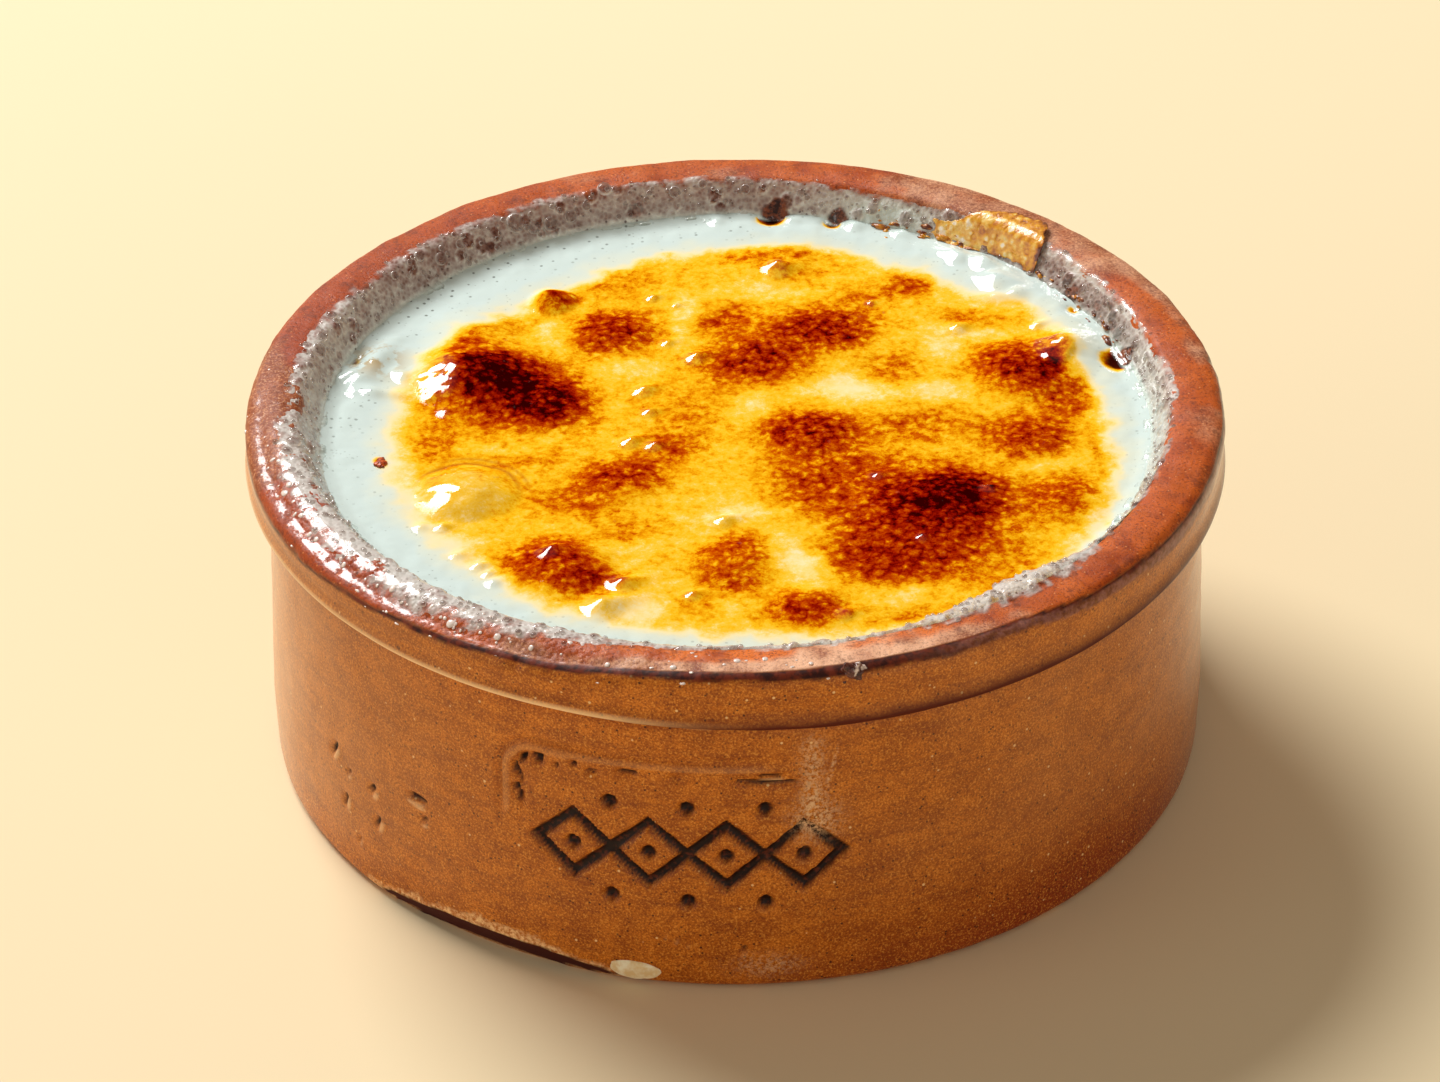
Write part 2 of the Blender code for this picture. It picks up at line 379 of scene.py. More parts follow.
class Finish(Tree):
    """A material under construction, on Object coordinates in metres."""

    def __init__(self, name, **constants):
        self.material = bpy.data.materials.new(name)
        self.material.use_nodes = True
        super().__init__(self.material.node_tree)
        self.shader = self.tree.nodes["Principled BSDF"]
        for socket, value in constants.items():
            self.shader.inputs[socket.replace("_", " ")].default_value = value
        self.place = self.node("ShaderNodeTexCoord", None, None, "Object")

    def field(self, name):
        """A value that the mesh carries."""
        return self.node("ShaderNodeAttribute", {"attribute_name": name}, None, "Fac")

    def warped(self, size, amount):
        """Coordinates pushed about by this many millimetres."""
        inputs = {"Vector": self.place, "Scale": 1.0 / (size * MM), "Detail": 2.0}
        push = self.node("ShaderNodeTexNoise", None, inputs, "Color")
        inputs = {0: push, 1: (amount * MM,) * 3, 2: self.place}
        return self.node("ShaderNodeVectorMath", {"operation": "MULTIPLY_ADD"}, inputs)

    def stretched(self, scale):
        return self.node("ShaderNodeMapping", None, {"Vector": self.place, "Scale": scale})

    def noise(self, size, detail=3.0, roughness=0.55, place=None):
        """Noise from 0 to 1 with lumps of this size in millimetres."""
        inputs = {"Vector": place or self.place, "Scale": 1.0 / (size * MM)}
        inputs |= {"Detail": detail, "Roughness": roughness}
        return self.node("ShaderNodeTexNoise", None, inputs, "Fac")

    def cells(self, size, place=None):
        """The distance to the middle of the nearest cell, with cells of this size in millimetres."""
        inputs = {"Vector": place or self.place, "Scale": 1.0 / (size * MM)}
        return self.node("ShaderNodeTexVoronoi", None, inputs, "Distance")

    def colours(self, amount, stops):
        """Colours read off a scale of (position, colour) stops."""
        stops = [(position, srgb(*colour)) for position, colour in stops]
        return self.node("ShaderNodeValToRGB", {"stops": stops}, {0: amount}, "Color")

    def blend(self, amount, first, second):
        """From the first colour to the second. A colour is a value, or red, green and blue up to 255."""
        first, second = (srgb(*tone) if isinstance(tone, tuple) else tone for tone in (first, second))
        return self.node("ShaderNodeMix", {"data_type": "RGBA"}, {0: amount, 6: first, 7: second}, 2)

    def layered(self, colour, *layers):
        """A colour with others laid over it in turn, each as thickly as its amount says."""
        for amount, tint in layers:
            colour = self.blend(amount, colour, tint)
        return colour

    def bump(self, height, distance):
        """The normal of a relief, with its depth in millimetres."""
        return self.node("ShaderNodeBump", None, {"Height": height, "Distance": distance * MM, "Strength": 1.0})

    def done(self, **links):
        for socket, value in links.items():
            self.tree.links.new(value.socket, self.shader.inputs[socket.replace("_", " ")])
        return self.material


# ---------------------------------------------------------------- finishes


def glazed_clay():
    """Caramel glaze on the body, thin terracotta glaze on the rim, dark glaze where it pools, with painted shade
    and highlights at the collar, the foot, the rim and the body's sides.
    """
    clay = Finish("glazed_clay", IOR=1.5, Specular_IOR_Level=0.26, Coat_Roughness=0.12)
    field, noise, cells = clay.field, clay.noise, clay.cells
    rings = noise(1.3, 4.0, 0.6, clay.stretched((0.13, 0.13, 1.0)))
    grain = noise(0.26, 3.0, 0.65)
    blots = noise(0.9, 4.0, 0.7)
    dark_specks = cells(0.8).ramp(0.24, 0.14) * noise(1.7).ramp(0.45, 0.6)
    body = clay.layered(
        (172, 88, 5),
        (noise(3.0, 5.0, 0.62).ramp(0.32, 0.68), (206, 115, 20)),
        (rings.ramp(0.46, 0.70) * 0.55, (138, 60, 6)),
        (field("low").clamp(), (146, 52, 2)),
        (grain.ramp(0.50, 0.68) * 0.6, (246, 170, 70)),
        (grain.ramp(0.5, 0.34) * 0.72, (118, 50, 4)),
        (blots.ramp(0.57, 0.68) * 0.5, (128, 54, 6)),
        (dark_specks * 0.9, (58, 18, 3)),
        (cells(2.6).ramp(0.085, 0.045) * 0.8, (255, 216, 150)),
        # Paler sides of the body: partly dust, partly a painted sheen.
        (field("dusty"), (214, 156, 106)),
    )
    # pale is a painted highlight: a light pinkish sheen laid over the rim's pink and orange glazes.
    streaks, pale = field("streak"), field("pale")
    speckle = noise(0.34, 4.0, 0.78)
    pink = clay.layered(
        (128, 56, 16),
        (streaks, (176, 90, 38)),
        (pale, (253, 198, 158)),
        (speckle.ramp(0.52, 0.64) * 0.6, (246, 186, 136)),
        (speckle.ramp(0.49, 0.38) * (0.75 - pale * 0.4), (112, 46, 14)),
    )
    orange = clay.layered(
        (136, 46, 0),
        (streaks, (190, 78, 2)),
        (pale, (240, 124, 34)),
        (speckle.ramp(0.49, 0.38) * 0.75, (104, 28, 0)),
        (cells(0.9).ramp(0.16, 0.08) * 0.6, (240, 160, 96)),
    )
    dabs = noise(2.6, 5.0, 0.72)
    rim = clay.layered(pink, (field("orange"), orange), (dabs.ramp(0.54, 0.66) * 0.55, (100, 40, 14)))
    # A painted lilac sheen, laid on the lower part of the rim's dark line at the front right and right.
    plum = clay.blend(noise(0.8).ramp(0.3, 0.7), (92, 46, 34), (146, 100, 98))
    lip = clay.layered((50, 8, 0), (noise(1.1).ramp(0.35, 0.65), (112, 38, 8)), (field("plum"), plum))
    pooled = clay.blend(noise(0.7, 3.0).ramp(0.5, 0.72), (26, 2, 1), (92, 34, 10))
    patches = noise(0.5, 4.0, 0.7)
    raw = clay.blend(patches.ramp(0.35, 0.65), (190, 110, 50), (250, 206, 146))
    smear = (field("smear") * patches.ramp(0.40, 0.62)).clamp()
    colour = clay.layered(
        body,
        (field("rim"), rim),
        (field("inside"), (104, 54, 36)),
        (field("line"), lip),
        # Painted highlights: the collar's lower edge on the left, and the burrs and ridge of the stamp.
        (field("worn"), (255, 214, 160)),
        # Painted shade under the collar's edge at the front and right.
        (field("crease").clamp(), (88, 24, 1)),
        (field("pool"), pooled),
        (field("bare"), raw),
        # Painted shade on the trimmed foot's cut face.
        (field("under"), (66, 14, 3)),
        (smear, (232, 186, 138)),
    )
    matt = (field("bare") + smear + field("pool") + field("under")).clamp()
    rough_body = 0.46 + noise(5.0).ramp(0.3, 0.7) * 0.10 + field("bare") * 0.3
    rough_rim = 0.34 + dabs.ramp(0.35, 0.6) * 0.2 - field("wet") * 0.14
    gloss = rough_body + (rough_rim - rough_body) * field("rim")
    patchy = noise(1.6, 4.0, 0.7).ramp(0.44, 0.54)
    wet = (field("wet") * patchy + field("sheen") - matt).clamp()
    relief = noise(0.45, 3.0, 0.6) * 0.6 + noise(2.2, 2.0) * 0.8
    relief = relief + (streaks * 0.4 + speckle * 1.3) * field("rim") - cells(0.8) * field("wet") * 3.5
    return clay.done(Base_Color=colour, Roughness=gloss, Coat_Weight=wet, Normal=clay.bump(relief, 0.06))


def pudding_skin():
    """Milk at the edge, then cream, gold, amber and scorched red-brown as the skin has burnt more."""
    skin = Finish("pudding_skin", IOR=1.4, Specular_IOR_Level=0.0, Coat_Roughness=0.07)
    field, noise, cells = skin.field, skin.noise, skin.cells
    burn, shine = field("burn"), field("shine")
    wavy = skin.warped(0.9, 1.5)
    lumps = cells(1.15, wavy)
    grains = noise(0.62, 4.0, 0.7, wavy) - 0.5
    thread = noise(1.5, 6.0, 0.74) - 0.5
    cloud = noise(3.4, 4.0, 0.6) - 0.5
    depth = burn.ramp(0.42, 0.74)
    gold = burn.ramp(0.14, 0.38)
    shade = burn + (lumps - 0.46) * depth * 0.36 + grains * gold * 0.34
    shade = shade + thread * gold * 0.62 + cloud * gold * 0.22
    stops = (
        (0.00, (213, 231, 227)),
        (0.10, (228, 234, 214)),
        (0.19, (246, 232, 180)),
        (0.28, (252, 218, 130)),
        (0.37, (248, 200, 64)),
        (0.46, (246, 190, 26)),
        (0.55, (232, 152, 4)),
        (0.64, (202, 92, 0)),
        (0.73, (178, 56, 0)),
        (0.82, (150, 20, 0)),
        (0.92, (104, 2, 0)),
        (1.00, (48, 0, 0)),
    )
    pores = cells(1.3).ramp(0.21, 0.09) * (noise(4.0).ramp(0.5, 0.62) * 0.3 + field("edge")).clamp()
    pores = pores * burn.ramp(0.2, 0.08)
    pinholes = cells(0.8).ramp(0.17, 0.08) * noise(3.0).ramp(0.46, 0.6) * burn.ramp(0.22, 0.1)
    colour = skin.layered(
        skin.colours(shade, stops),
        (pores * 0.8, (92, 100, 92)),
        (pinholes * 0.45, (146, 158, 148)),
        (noise(2.4, 4.0, 0.6).ramp(0.42, 0.56) * field("stain"), (192, 172, 132)),
        (field("fold"), (190, 104, 20)),
        (field("charred"), (60, 14, 6)),
    )
    gloss = 0.24 + noise(2.0) * 0.08
    wet = (burn.ramp(0.26, 0.1) + shine + noise(1.1, 4.0, 0.7).ramp(0.65, 0.69)).clamp()
    relief = (lumps * -0.7 + grains * 0.5) * depth + noise(1.2, 2.0) * 0.2
    relief = relief + noise(0.7, 3.0) * shine * 0.6 - pores * 0.5 - pinholes * 0.3
    return skin.done(Base_Color=colour, Roughness=gloss, Coat_Weight=wet, Normal=skin.bump(relief, 0.09))


def milk_film():
    """Foam that has dried on the wall: brown clay shows through each bubble, milk lies between them."""
    film = Finish("milk_film", IOR=1.4, Specular_IOR_Level=0.3, Coat_Weight=0.9, Coat_Roughness=0.06)
    milky, hole = film.field("milky"), film.field("hole")
    mottle = film.noise(1.6, 4.0, 0.62) - 0.5
    bubbles = film.cells(0.62, film.warped(1.0, 0.5))
    tone = film.field("tone") + mottle * 0.55 + (bubbles - 0.44) * 0.55
    stops = (
        (0.0, (84, 38, 24)),
        (0.25, (138, 98, 84)),
        (0.5, (182, 158, 150)),
        (0.75, (214, 202, 194)),
        (1.0, (240, 238, 230)),
    )
    pores = film.cells(0.9).ramp(0.24, 0.12) * film.noise(2.0).ramp(0.42, 0.6)
    scorched = film.blend(film.noise(1.1, 4.0, 0.7).ramp(0.4, 0.62), (44, 10, 4), (140, 74, 44))
    colour = film.layered(
        film.colours(tone, stops),
        (milky, (213, 229, 222)),
        (pores * 0.75, (86, 56, 50)),
        (hole, scorched),
    )
    cover = (film.field("cover") * (0.72 + mottle * 0.5 + milky * 0.6 + hole)).clamp()
    relief = film.bump(film.noise(0.7, 2.0) * 0.6 - bubbles - pores * 0.5, 0.14)
    return film.done(Base_Color=colour, Alpha=cover, Roughness=0.3 - milky * 0.08, Normal=relief)


def bubble_skin():
    """Clear at the crown and milky where it meets the foam."""
    bubble = Finish("bubble_skin", IOR=1.4, Roughness=0.08, Coat_Weight=1.0, Coat_Roughness=0.03)
    crown = bubble.field("crown")
    colour = bubble.blend(crown.ramp(0.25, 0.8), (236, 228, 220), (122, 80, 66))
    return bubble.done(Base_Color=colour, Alpha=0.62 - crown.ramp(0.2, 0.8) * 0.35)


def crisp_crust():
    """Pale, golden or brown as it has toasted; on the flake also painted highlights on its puffs and painted shade
    at its right end.
    """
    crust = Finish("crisp_crust", IOR=1.45, Coat_Weight=0.5, Coat_Roughness=0.1)
    toast = crust.field("toast") + (crust.noise(0.8, 4.0, 0.7) - 0.5) * 0.9
    stops = (
        (0.0, (250, 240, 218)),
        (0.25, (246, 210, 112)),
        (0.5, (232, 166, 36)),
        (0.75, (196, 116, 10)),
        (1.0, (96, 38, 10)),
    )
    gloss = 0.20 + crust.noise(0.7) * 0.25
    relief = crust.bump(crust.noise(0.6, 3.0), 0.12)
    return crust.done(Base_Color=crust.colours(toast, stops), Roughness=gloss, Normal=relief)


def burnt_sugar():
    """Milk boiled over and burnt on: almost black, with a purple-brown shine and whitish patches that are painted
    highlights.
    """
    sugar = Finish("burnt_sugar", IOR=1.5)
    colour = sugar.layered(
        (52, 10, 6),
        (sugar.noise(0.9, 4.0, 0.7).ramp(0.35, 0.7), (128, 70, 54)),
        # Whitish patches: painted highlights.
        (sugar.noise(1.6, 3.0).ramp(0.58, 0.66), (236, 214, 200)),
    )
    gloss = 0.10 + sugar.noise(0.6) * 0.2
    return sugar.done(Base_Color=colour, Roughness=gloss, Normal=sugar.bump(sugar.noise(0.5, 3.0), 0.15))


def mottled(name, mottle, tones, lump, depth, **constants):
    """A finish of two mottled tones on a lumpy surface. Sizes are in millimetres."""
    finish = Finish(name, **constants)
    colour = finish.blend(finish.noise(*mottle).ramp(0.35, 0.65), *tones)
    return finish.done(Base_Color=colour, Normal=finish.bump(finish.noise(lump), depth))


def crumb_sugar():
    """A crumb of red-brown caramel."""
    tones = (110, 14, 2), (214, 92, 16)
    return mottled("crumb_sugar", (0.6, 3.0), tones, 0.4, 0.08, IOR=1.45, Roughness=0.3)


def pale_glaze():
    """A thick drip of unmelted pale glaze."""
    tones = (236, 206, 150), (255, 246, 214)
    return mottled("pale_glaze", (1.4, 4.0), tones, 0.6, 0.06, IOR=1.5, Roughness=0.18)


def dried_milk_and_glints():
    """Milk that has dried in specks, so white that they stand in for glints as painted highlights."""
    milk = Finish("dried_milk_and_glints", IOR=1.4, Roughness=0.2, Coat_Weight=0.6, Coat_Roughness=0.1)
    colour = milk.blend(milk.noise(0.5), (226, 196, 180), (246, 240, 232))
    return milk.done(Base_Color=colour, Normal=milk.bump(milk.noise(0.3), 0.05))


# ---------------------------------------------------------------- the clay dish


def flare_facing():
    """The angle that the flared wall under the lip faces, in degrees."""
    rise = HEIGHT - CROWN_DROP - LIP_ROUND - FLARE_Z
    run = LIP_R - LIP_ROUND - FLARE_R
    return 180.0 - math.degrees(math.atan2(run, rise))


def lip_arcs():
    """The rounded inner lip, the crown and the rounded outer lip."""
    top = HEIGHT - CROWN_DROP
    inner = arc((LIP_R, top - LIP_ROUND), LIP_ROUND, flare_facing(), 90.0)
    outer = arc((OUTER_R, top - OUTER_ROUND), OUTER_ROUND, 90.0, 0.0)
    crown = arc_through(inner[-1], (CROWN_R, HEIGHT), outer[0])
    return inner, crown, outer


def arc_through(first, middle, last, steps=8):
    """A shallow curve from first to last that reaches middle's height half way."""
    share = np.linspace(0.0, 1.0, steps + 1)
    rise = 4.0 * share * (1.0 - share) * (middle[1] - first[1])
    return [(first[0] + (last[0] - first[0]) * s, first[1] + up) for s, up in zip(share, rise)]


def clay_outline():
    """The dish's section from inside the well over the rim to under the foot."""
    inner, crown, outer = lip_arcs()
    well = arc((WELL_R - FLOOR_ROUND, FLOOR_Z + FLOOR_ROUND), FLOOR_ROUND, -90.0, 0.0)
    edge = arc((RIM - COLLAR_ROUND, COLLAR_Z + COLLAR_ROUND), COLLAR_ROUND, 0.0, -80.0)
    foot = arc((FOOT_R - FOOT_ROUND, FOOT_ROUND), FOOT_ROUND, 0.0, -90.0)
    step = (BODY_TOP_R + 0.4, COLLAR_Z - 0.4)
    high, low = ornament_band()
    runs = [
        paced([(FLOOR_MIDDLE_R, FLOOR_Z), well[0]], 12.0),
        paced([*well, (FLARE_R, FLARE_Z)], 6.0),
        paced([(FLARE_R, FLARE_Z), *inner], 0.42),
        paced([*crown], 0.5),
        paced([*outer], 0.30),
        paced([outer[-1], edge[0]], 0.42),
        paced([*edge, step, (BODY_TOP_R, BODY_TOP_Z)], 0.24),
        paced([(BODY_TOP_R, BODY_TOP_Z), (body_radius(high), high)], 0.7),
        paced([(body_radius(high), high), (body_radius(low), low)], 0.37),
        paced([(body_radius(low), low), (BULGE_R, BULGE_Z), foot[0]], 0.55),
        paced([*foot, (FOOT_R - 3.0, 0.0)], 0.4),
        paced([(FOOT_R - 3.0, 0.0), (FOOT_R - 5.5, 0.0)], 1.2),
        paced([(FOOT_R - 5.5, 0.0), (FLOOR_MIDDLE_R, 0.0)], 14.0),
        np.array([(FLOOR_MIDDLE_R, 0.0)]),
    ]
    return np.concatenate(runs)


def body_radius(height):
    """The wall's radius below the collar: a straight taper, widest near the foot."""
    share = np.clip((BODY_TOP_Z - height) / (BODY_TOP_Z - BULGE_Z), 0.0, 1.0)
    return BODY_TOP_R + (BULGE_R - BODY_TOP_R) * share


def ornament_band():
    """The highest and lowest level that the pressed ornament reaches."""
    return STAMP_MIDDLE[1] + STAMP_HALF[1] + 1.0, CHAIN_Z - 8.2


def groove(distance, half_width, depth):
    """The depth of a round-bottomed groove, with a low burr beside it."""
    return depth * dome(distance, half_width) - 0.07 * bell(distance - half_width * 1.35, half_width * 0.35)


def dot_places():
    """One dot in each lozenge, and one above and below each place where two meet."""
    middles = [CHAIN_START + LOZENGE_WIDE * (index + 0.5) for index in range(LOZENGE_COUNT)]
    joints = [CHAIN_START + LOZENGE_WIDE * index for index in range(1, LOZENGE_COUNT)]
    places = [(along, CHAIN_Z) for along in middles]
    return places + [(along, CHAIN_Z + side) for along in joints for side in (-6.6, 6.6)]


def ornament_depth(along, height):
    """How deep the lozenges, the dots and what shows of the stamp's frame are pressed in."""
    index = np.clip(np.floor((along - CHAIN_START) / LOZENGE_WIDE), 0, LOZENGE_COUNT - 1)
    across = np.abs(along - CHAIN_START - (index + 0.5) * LOZENGE_WIDE)
    up = np.abs(height - CHAIN_Z)
    slope = math.hypot(2.0 / LOZENGE_WIDE, 2.0 / LOZENGE_HIGH)
    outside = across * 2.0 / LOZENGE_WIDE + up * 2.0 / LOZENGE_HIGH - 1.0
    wobble = 0.12 * noise(flat(along, height), 2.5, 11)
    depth = groove(np.abs(outside / slope) + wobble, 0.80, 0.9)
    for dot_along, dot_height in dot_places():
        distance = np.hypot(along - dot_along, height - dot_height)
        depth = np.maximum(depth, groove(distance, 1.1, 0.95))
    return depth


def stamp_edge(along, height):
    """The rounded frame of the stamp: clear at its upper left, and only a few dashes further on."""
    across = np.abs(along - STAMP_MIDDLE[0]) - STAMP_HALF[0] + STAMP_CORNER
    up = np.abs(height - STAMP_MIDDLE[1]) - STAMP_HALF[1] + STAMP_CORNER
    outside = np.hypot(np.maximum(across, 0.0), np.maximum(up, 0.0)) + np.minimum(np.maximum(across, up), 0.0)
    distance = np.abs(outside - STAMP_CORNER)
    clear = smooth(-8.0, -22.0, along) * smooth(19.0, 25.0, height)
    places = flat(along, height)
    broken = smooth(-0.1, 0.35, noise(places, 1.1, 21))
    top_line = smooth(10.0, -2.0, along) * smooth(26.0, 29.0, height)
    seen = np.maximum(clear, 0.7 * top_line)
    ridge = 0.6 * bell(distance, 0.5) * seen
    # A groove just outside the ridge; its pooled glaze also stands in for the ridge's shadow, as painted shade.
    groove_line = 0.50 * bell(outside - STAMP_CORNER - 0.9, 0.45) * seen
    pits = 0.95 * bell(outside - STAMP_CORNER + 1.5, 0.75) * clear * broken
    dashes = 0.85 * bell(height - 29.9 + 0.04 * along, 0.36) * smooth(0.12, 0.4, noise(places, 2.6, 23))
    dashes = dashes * between(along, -22.0, -18.0, 5.0, 9.0)
    return ridge, np.maximum(np.maximum(pits, dashes), groove_line)


# Pits and scratches in the glaze: bearing, height, half length, half width, depth and tilt in degrees.
PITS = (
    (-57.3, 16.8, 1.2, 0.45, 0.45, 60),
    (-54, 15.2, 0.5, 0.35, 0.35, 30),
    (-54.9, 10.6, 0.9, 0.45, 0.50, 80),
    (-49.3, 15.4, 0.7, 0.5, 0.45, 50),
    (-48.4, 11, 0.9, 0.45, 0.40, 70),
    (-52, 6.5, 0.5, 0.3, 0.30, 40),
    (-41.3, 17.9, 1.5, 0.4, 0.50, -8),
    (-40.3, 15.4, 0.6, 0.4, 0.35, 20),
    (-4.6, 39, 1.9, 0.35, 0.40, 2),
    (-1.2, 39.2, 1.2, 0.25, 0.30, 0),
    (3.6, 30.6, 1.7, 0.3, 0.45, -3),
    (-7.4, 7.3, 2.2, 0.22, 0.20, -22),
    (0.3, 6.2, 0.4, 0.35, 0.35, 0),
    (27, 24.5, 0.3, 0.25, 0.20, 0),
    (10.6, 30.8, 2.2, 0.14, 0.10, 76),
)


def pit_depth(bearings, height):
    """How deep the pits are, with a low burr beside each."""
    depth = np.zeros(np.broadcast(bearings, height).shape)
    for bearing, level, half_length, half_width, deepest, tilt in PITS:
        across = round_wall(bearings, bearing, BODY_TOP_R)
        up = height - level
        along, beside = turned(across, up, tilt)
        wide = 1.2 * half_width
        shape = np.exp(-((along / half_length) ** 4) - (beside / wide) ** 2)
        burr = np.exp(-((along / half_length) ** 4) - ((beside + 1.6 * wide) / wide) ** 2)
        depth = depth + 1.3 * deepest * (shape - 0.45 * burr)
    return depth


def trimmed(places):
    """Lifts what lies under the trimmed edge onto the cut, and says how far from the cut each point is."""
    angle = math.radians(TRIM_BEARING)
    radius = np.hypot(places[..., 0], places[..., 1])
    out = places[..., 0] * math.sin(angle) - places[..., 1] * math.cos(angle)
    ragged = 0.35 * rough(places, 2.2, 3, 31)
    chord = FOOT_R * math.cos(math.radians(TRIM_HALF_ANGLE)) + ragged
    edge = (out / np.maximum(radius, 1.0) * FOOT_R - chord) * math.tan(math.radians(TRIM_SLOPE))
    cut = np.where(edge > 0.0, edge - (FOOT_R - radius) * math.tan(math.radians(CUT_SLOPE)), -FAR)
    above = places[..., 2] - cut
    places[..., 2] = np.maximum(places[..., 2], cut)
    return np.where(edge > -0.3, above, FAR)


# How far the rim has turned orange near the foam and at its outer edge, by bearing.
ORANGE_INSIDE = (
    (-170, 0.55), (-150, 0.90), (-120, 1.00), (-104, 0.90), (-94, 0.35), (-80, 0.25), (-70, 0.80),
    (-50, 0.75), (-30, 0.85), (-12, 0.90), (10, 0.50), (30, 0.75), (60, 0.85), (90, 0.80),
    (110, 0.90), (126, 0.50), (140, 0.30), (156, 0.55), (172, 0.65),
)
ORANGE_OUTSIDE = (
    (-170, 0.62), (-155, 0.66), (-140, 0.80), (-126, 0.95), (-110, 0.95), (-103, 0.35), (-94, 0.00),
    (-78, 0.05), (-69, 0.85), (-50, 0.95), (-34, 0.70), (-18, 0.35), (0, 0.10), (20, 0.25),
    (40, 0.60), (60, 0.85), (80, 0.60), (100, 0.45), (120, 0.40), (150, 0.45), (172, 0.60),
)


# Where the rim's glaze ends, as a distance over the outer rounding, and how wide its dark line is.
GLAZE_END = (
    (-150, 2.2), (-90, 2.5), (-60, 2.5), (-50, 1.9), (-40, 1.2), (-26, 0.5), (-14, 0.1),
    (4, 0.4), (20, 0.15), (32, 0.2), (45, 1.35), (61, 1.7), (80, 1.6), (110, 2),
)
LINE_WIDTH = (
    (-150, 0.3), (-90, 0.3), (-52, 0.35), (-40, 0.7), (-26, 1), (-14, 1.1), (4, 1.4),
    (28, 1.5), (45, 1.6), (61, 2), (80, 1.9), (105, 1.2), (140, 0.5),
)


def over_edge(radius, height):
    """The distance from the crown's outer end, over the rounding and down the side."""
    round_part = OUTER_ROUND * np.arcsin(np.clip((radius - OUTER_R) / OUTER_ROUND, 0.0, 1.0))
    side = np.maximum(HEIGHT - CROWN_DROP - OUTER_ROUND - height, 0.0)
    return np.where((radius < OUTER_R) & (side == 0.0), radius - OUTER_R, round_part + side)


def clay_fields(radius, height, bearings, places):
    """What the clay's finish needs to know at each point."""
    outer = radius > CROWN_R
    wander = rough(places * [1.0, 1.0, 0.3], 6.0, 4, 41)
    on_rim = smooth(FLARE_Z + 2.6, FLARE_Z + 3.6, height + 0.3 * wander)
    beyond = over_edge(radius, height) - round_values(bearings, GLAZE_END) - 0.22 * wander
    round_front = turn_between(bearings, 0.0)
    rim = np.where(outer, smooth(0.12, -0.12, beyond), on_rim)
    inside = np.where(outer, 0.0, 1.0 - on_rim)
    thick = round_values(bearings, LINE_WIDTH) * (1.0 + 0.3 * rough(places, 3.0, 2, 42))
    line = between(beyond, -0.1, 0.08, thick - 0.15, thick + 0.2) * outer
    # Painted sheen: a lilac tint in the lower part of the rim's dark line, from the front right round to the back
    # right.
    plum = between(round_front, 16.0, 34.0, 100.0, 140.0)
    plum = plum * smooth(0.3, 0.6, beyond + 0.25 * rough(places, 2.0, 2, 40))
    line = line * (1.0 - 0.25 * plum)
    wet = rim * about(bearings, -50.0, 40.0) * smooth(RIM - 0.2, RIM - 1.4, radius)
    sheen = 0.7 * between(np.abs(round_front), 46.0, 78.0, 100.0, 130.0) * (1.0 - rim)
    # pale is a painted highlight: a pinkish sheen over the rim, brightest at the front and faint at the left.
    pale = 0.46 + 0.54 * about(bearings, 4.0, 34.0) - 0.50 * about(bearings, -62.0, 44.0)
    pale = pale - 0.30 * about(bearings, -118.0, 36.0) - 0.12 * about(bearings, 66.0, 28.0)
    pale = np.clip(pale, 0.0, 1.0) * smooth(-0.7, 0.5, rough(places, 2.4, 4, 48))
    # Paler sides of the body, left and right: partly dust, partly a painted sheen where light glances off them.
    dusty = 0.50 * about(bearings, -70.0, 34.0) + 0.66 * about(bearings, 95.0, 24.0)
    dusty = dusty + 0.26 * about(bearings, 52.0, 36.0) * smooth(4.0, 20.0, height)
    dusty = dusty * (1.0 - rim) * (0.85 + 0.3 * rough(places, 9.0, 2, 50)) * smooth(-2.0, 12.0, height)
    near_lip = smooth(LIP_R + 3.6, LIP_R + 0.4, radius)
    inner, outer_half = (round_values(bearings, stops) for stops in (ORANGE_INSIDE, ORANGE_OUTSIDE))
    patches = outer_half + (inner - outer_half) * near_lip + 0.42 * rough(places, 5.0, 4, 43)
    orange = smooth(0.38, 0.62, patches)
    under_collar = np.where(outer, height - COLLAR_Z, FAR)
    # Painted highlight: a pale line along the collar's lower edge on the left, where it catches the light.
    edge_light_round = between(round_front, -104.0, -84.0, -18.0, 4.0)
    worn = bell(under_collar - 0.62, 0.32) * edge_light_round * smooth(-1.1, -0.3, rough(places, 3.0, 3, 44))
    # Painted shade: a dark line on the underside of the collar's edge, from the front round to the right.
    collar_shade_round = between(round_front, -22.0, 8.0, 88.0, 112.0)
    crease = bell(under_collar - 0.3 - 0.12 * rough(places, 4.0, 2, 46), 0.95) * collar_shade_round
    crease = 1.25 * crease * smooth(-1.3, -0.4, rough(places, 6.0, 3, 45))
    streak_places = np.stack([bearings * 1.5, radius * 0.30, height * 0.3], axis=-1)
    brushed = 0.25 + 0.5 * about(bearings, 55.0, 60.0)
    streak = 0.5 + brushed * rough(streak_places, 1.0, 3, 47) + 0.3 * rough(places, 4.0, 3, 49)
    low = smooth(14.0, -4.0, height) * about(bearings, 48.0, 40.0)
    low = low + 0.5 * about(bearings, 50.0, 26.0) * smooth(30.0, 0.0, height)
    fields = {"rim": rim, "inside": inside, "line": line, "orange": orange, "streak": streak, "pale": pale}
    fields |= {"low": low * outer, "worn": worn, "crease": crease, "plum": plum, "wet": wet, "sheen": sheen}
    return fields | {"dusty": dusty * outer}


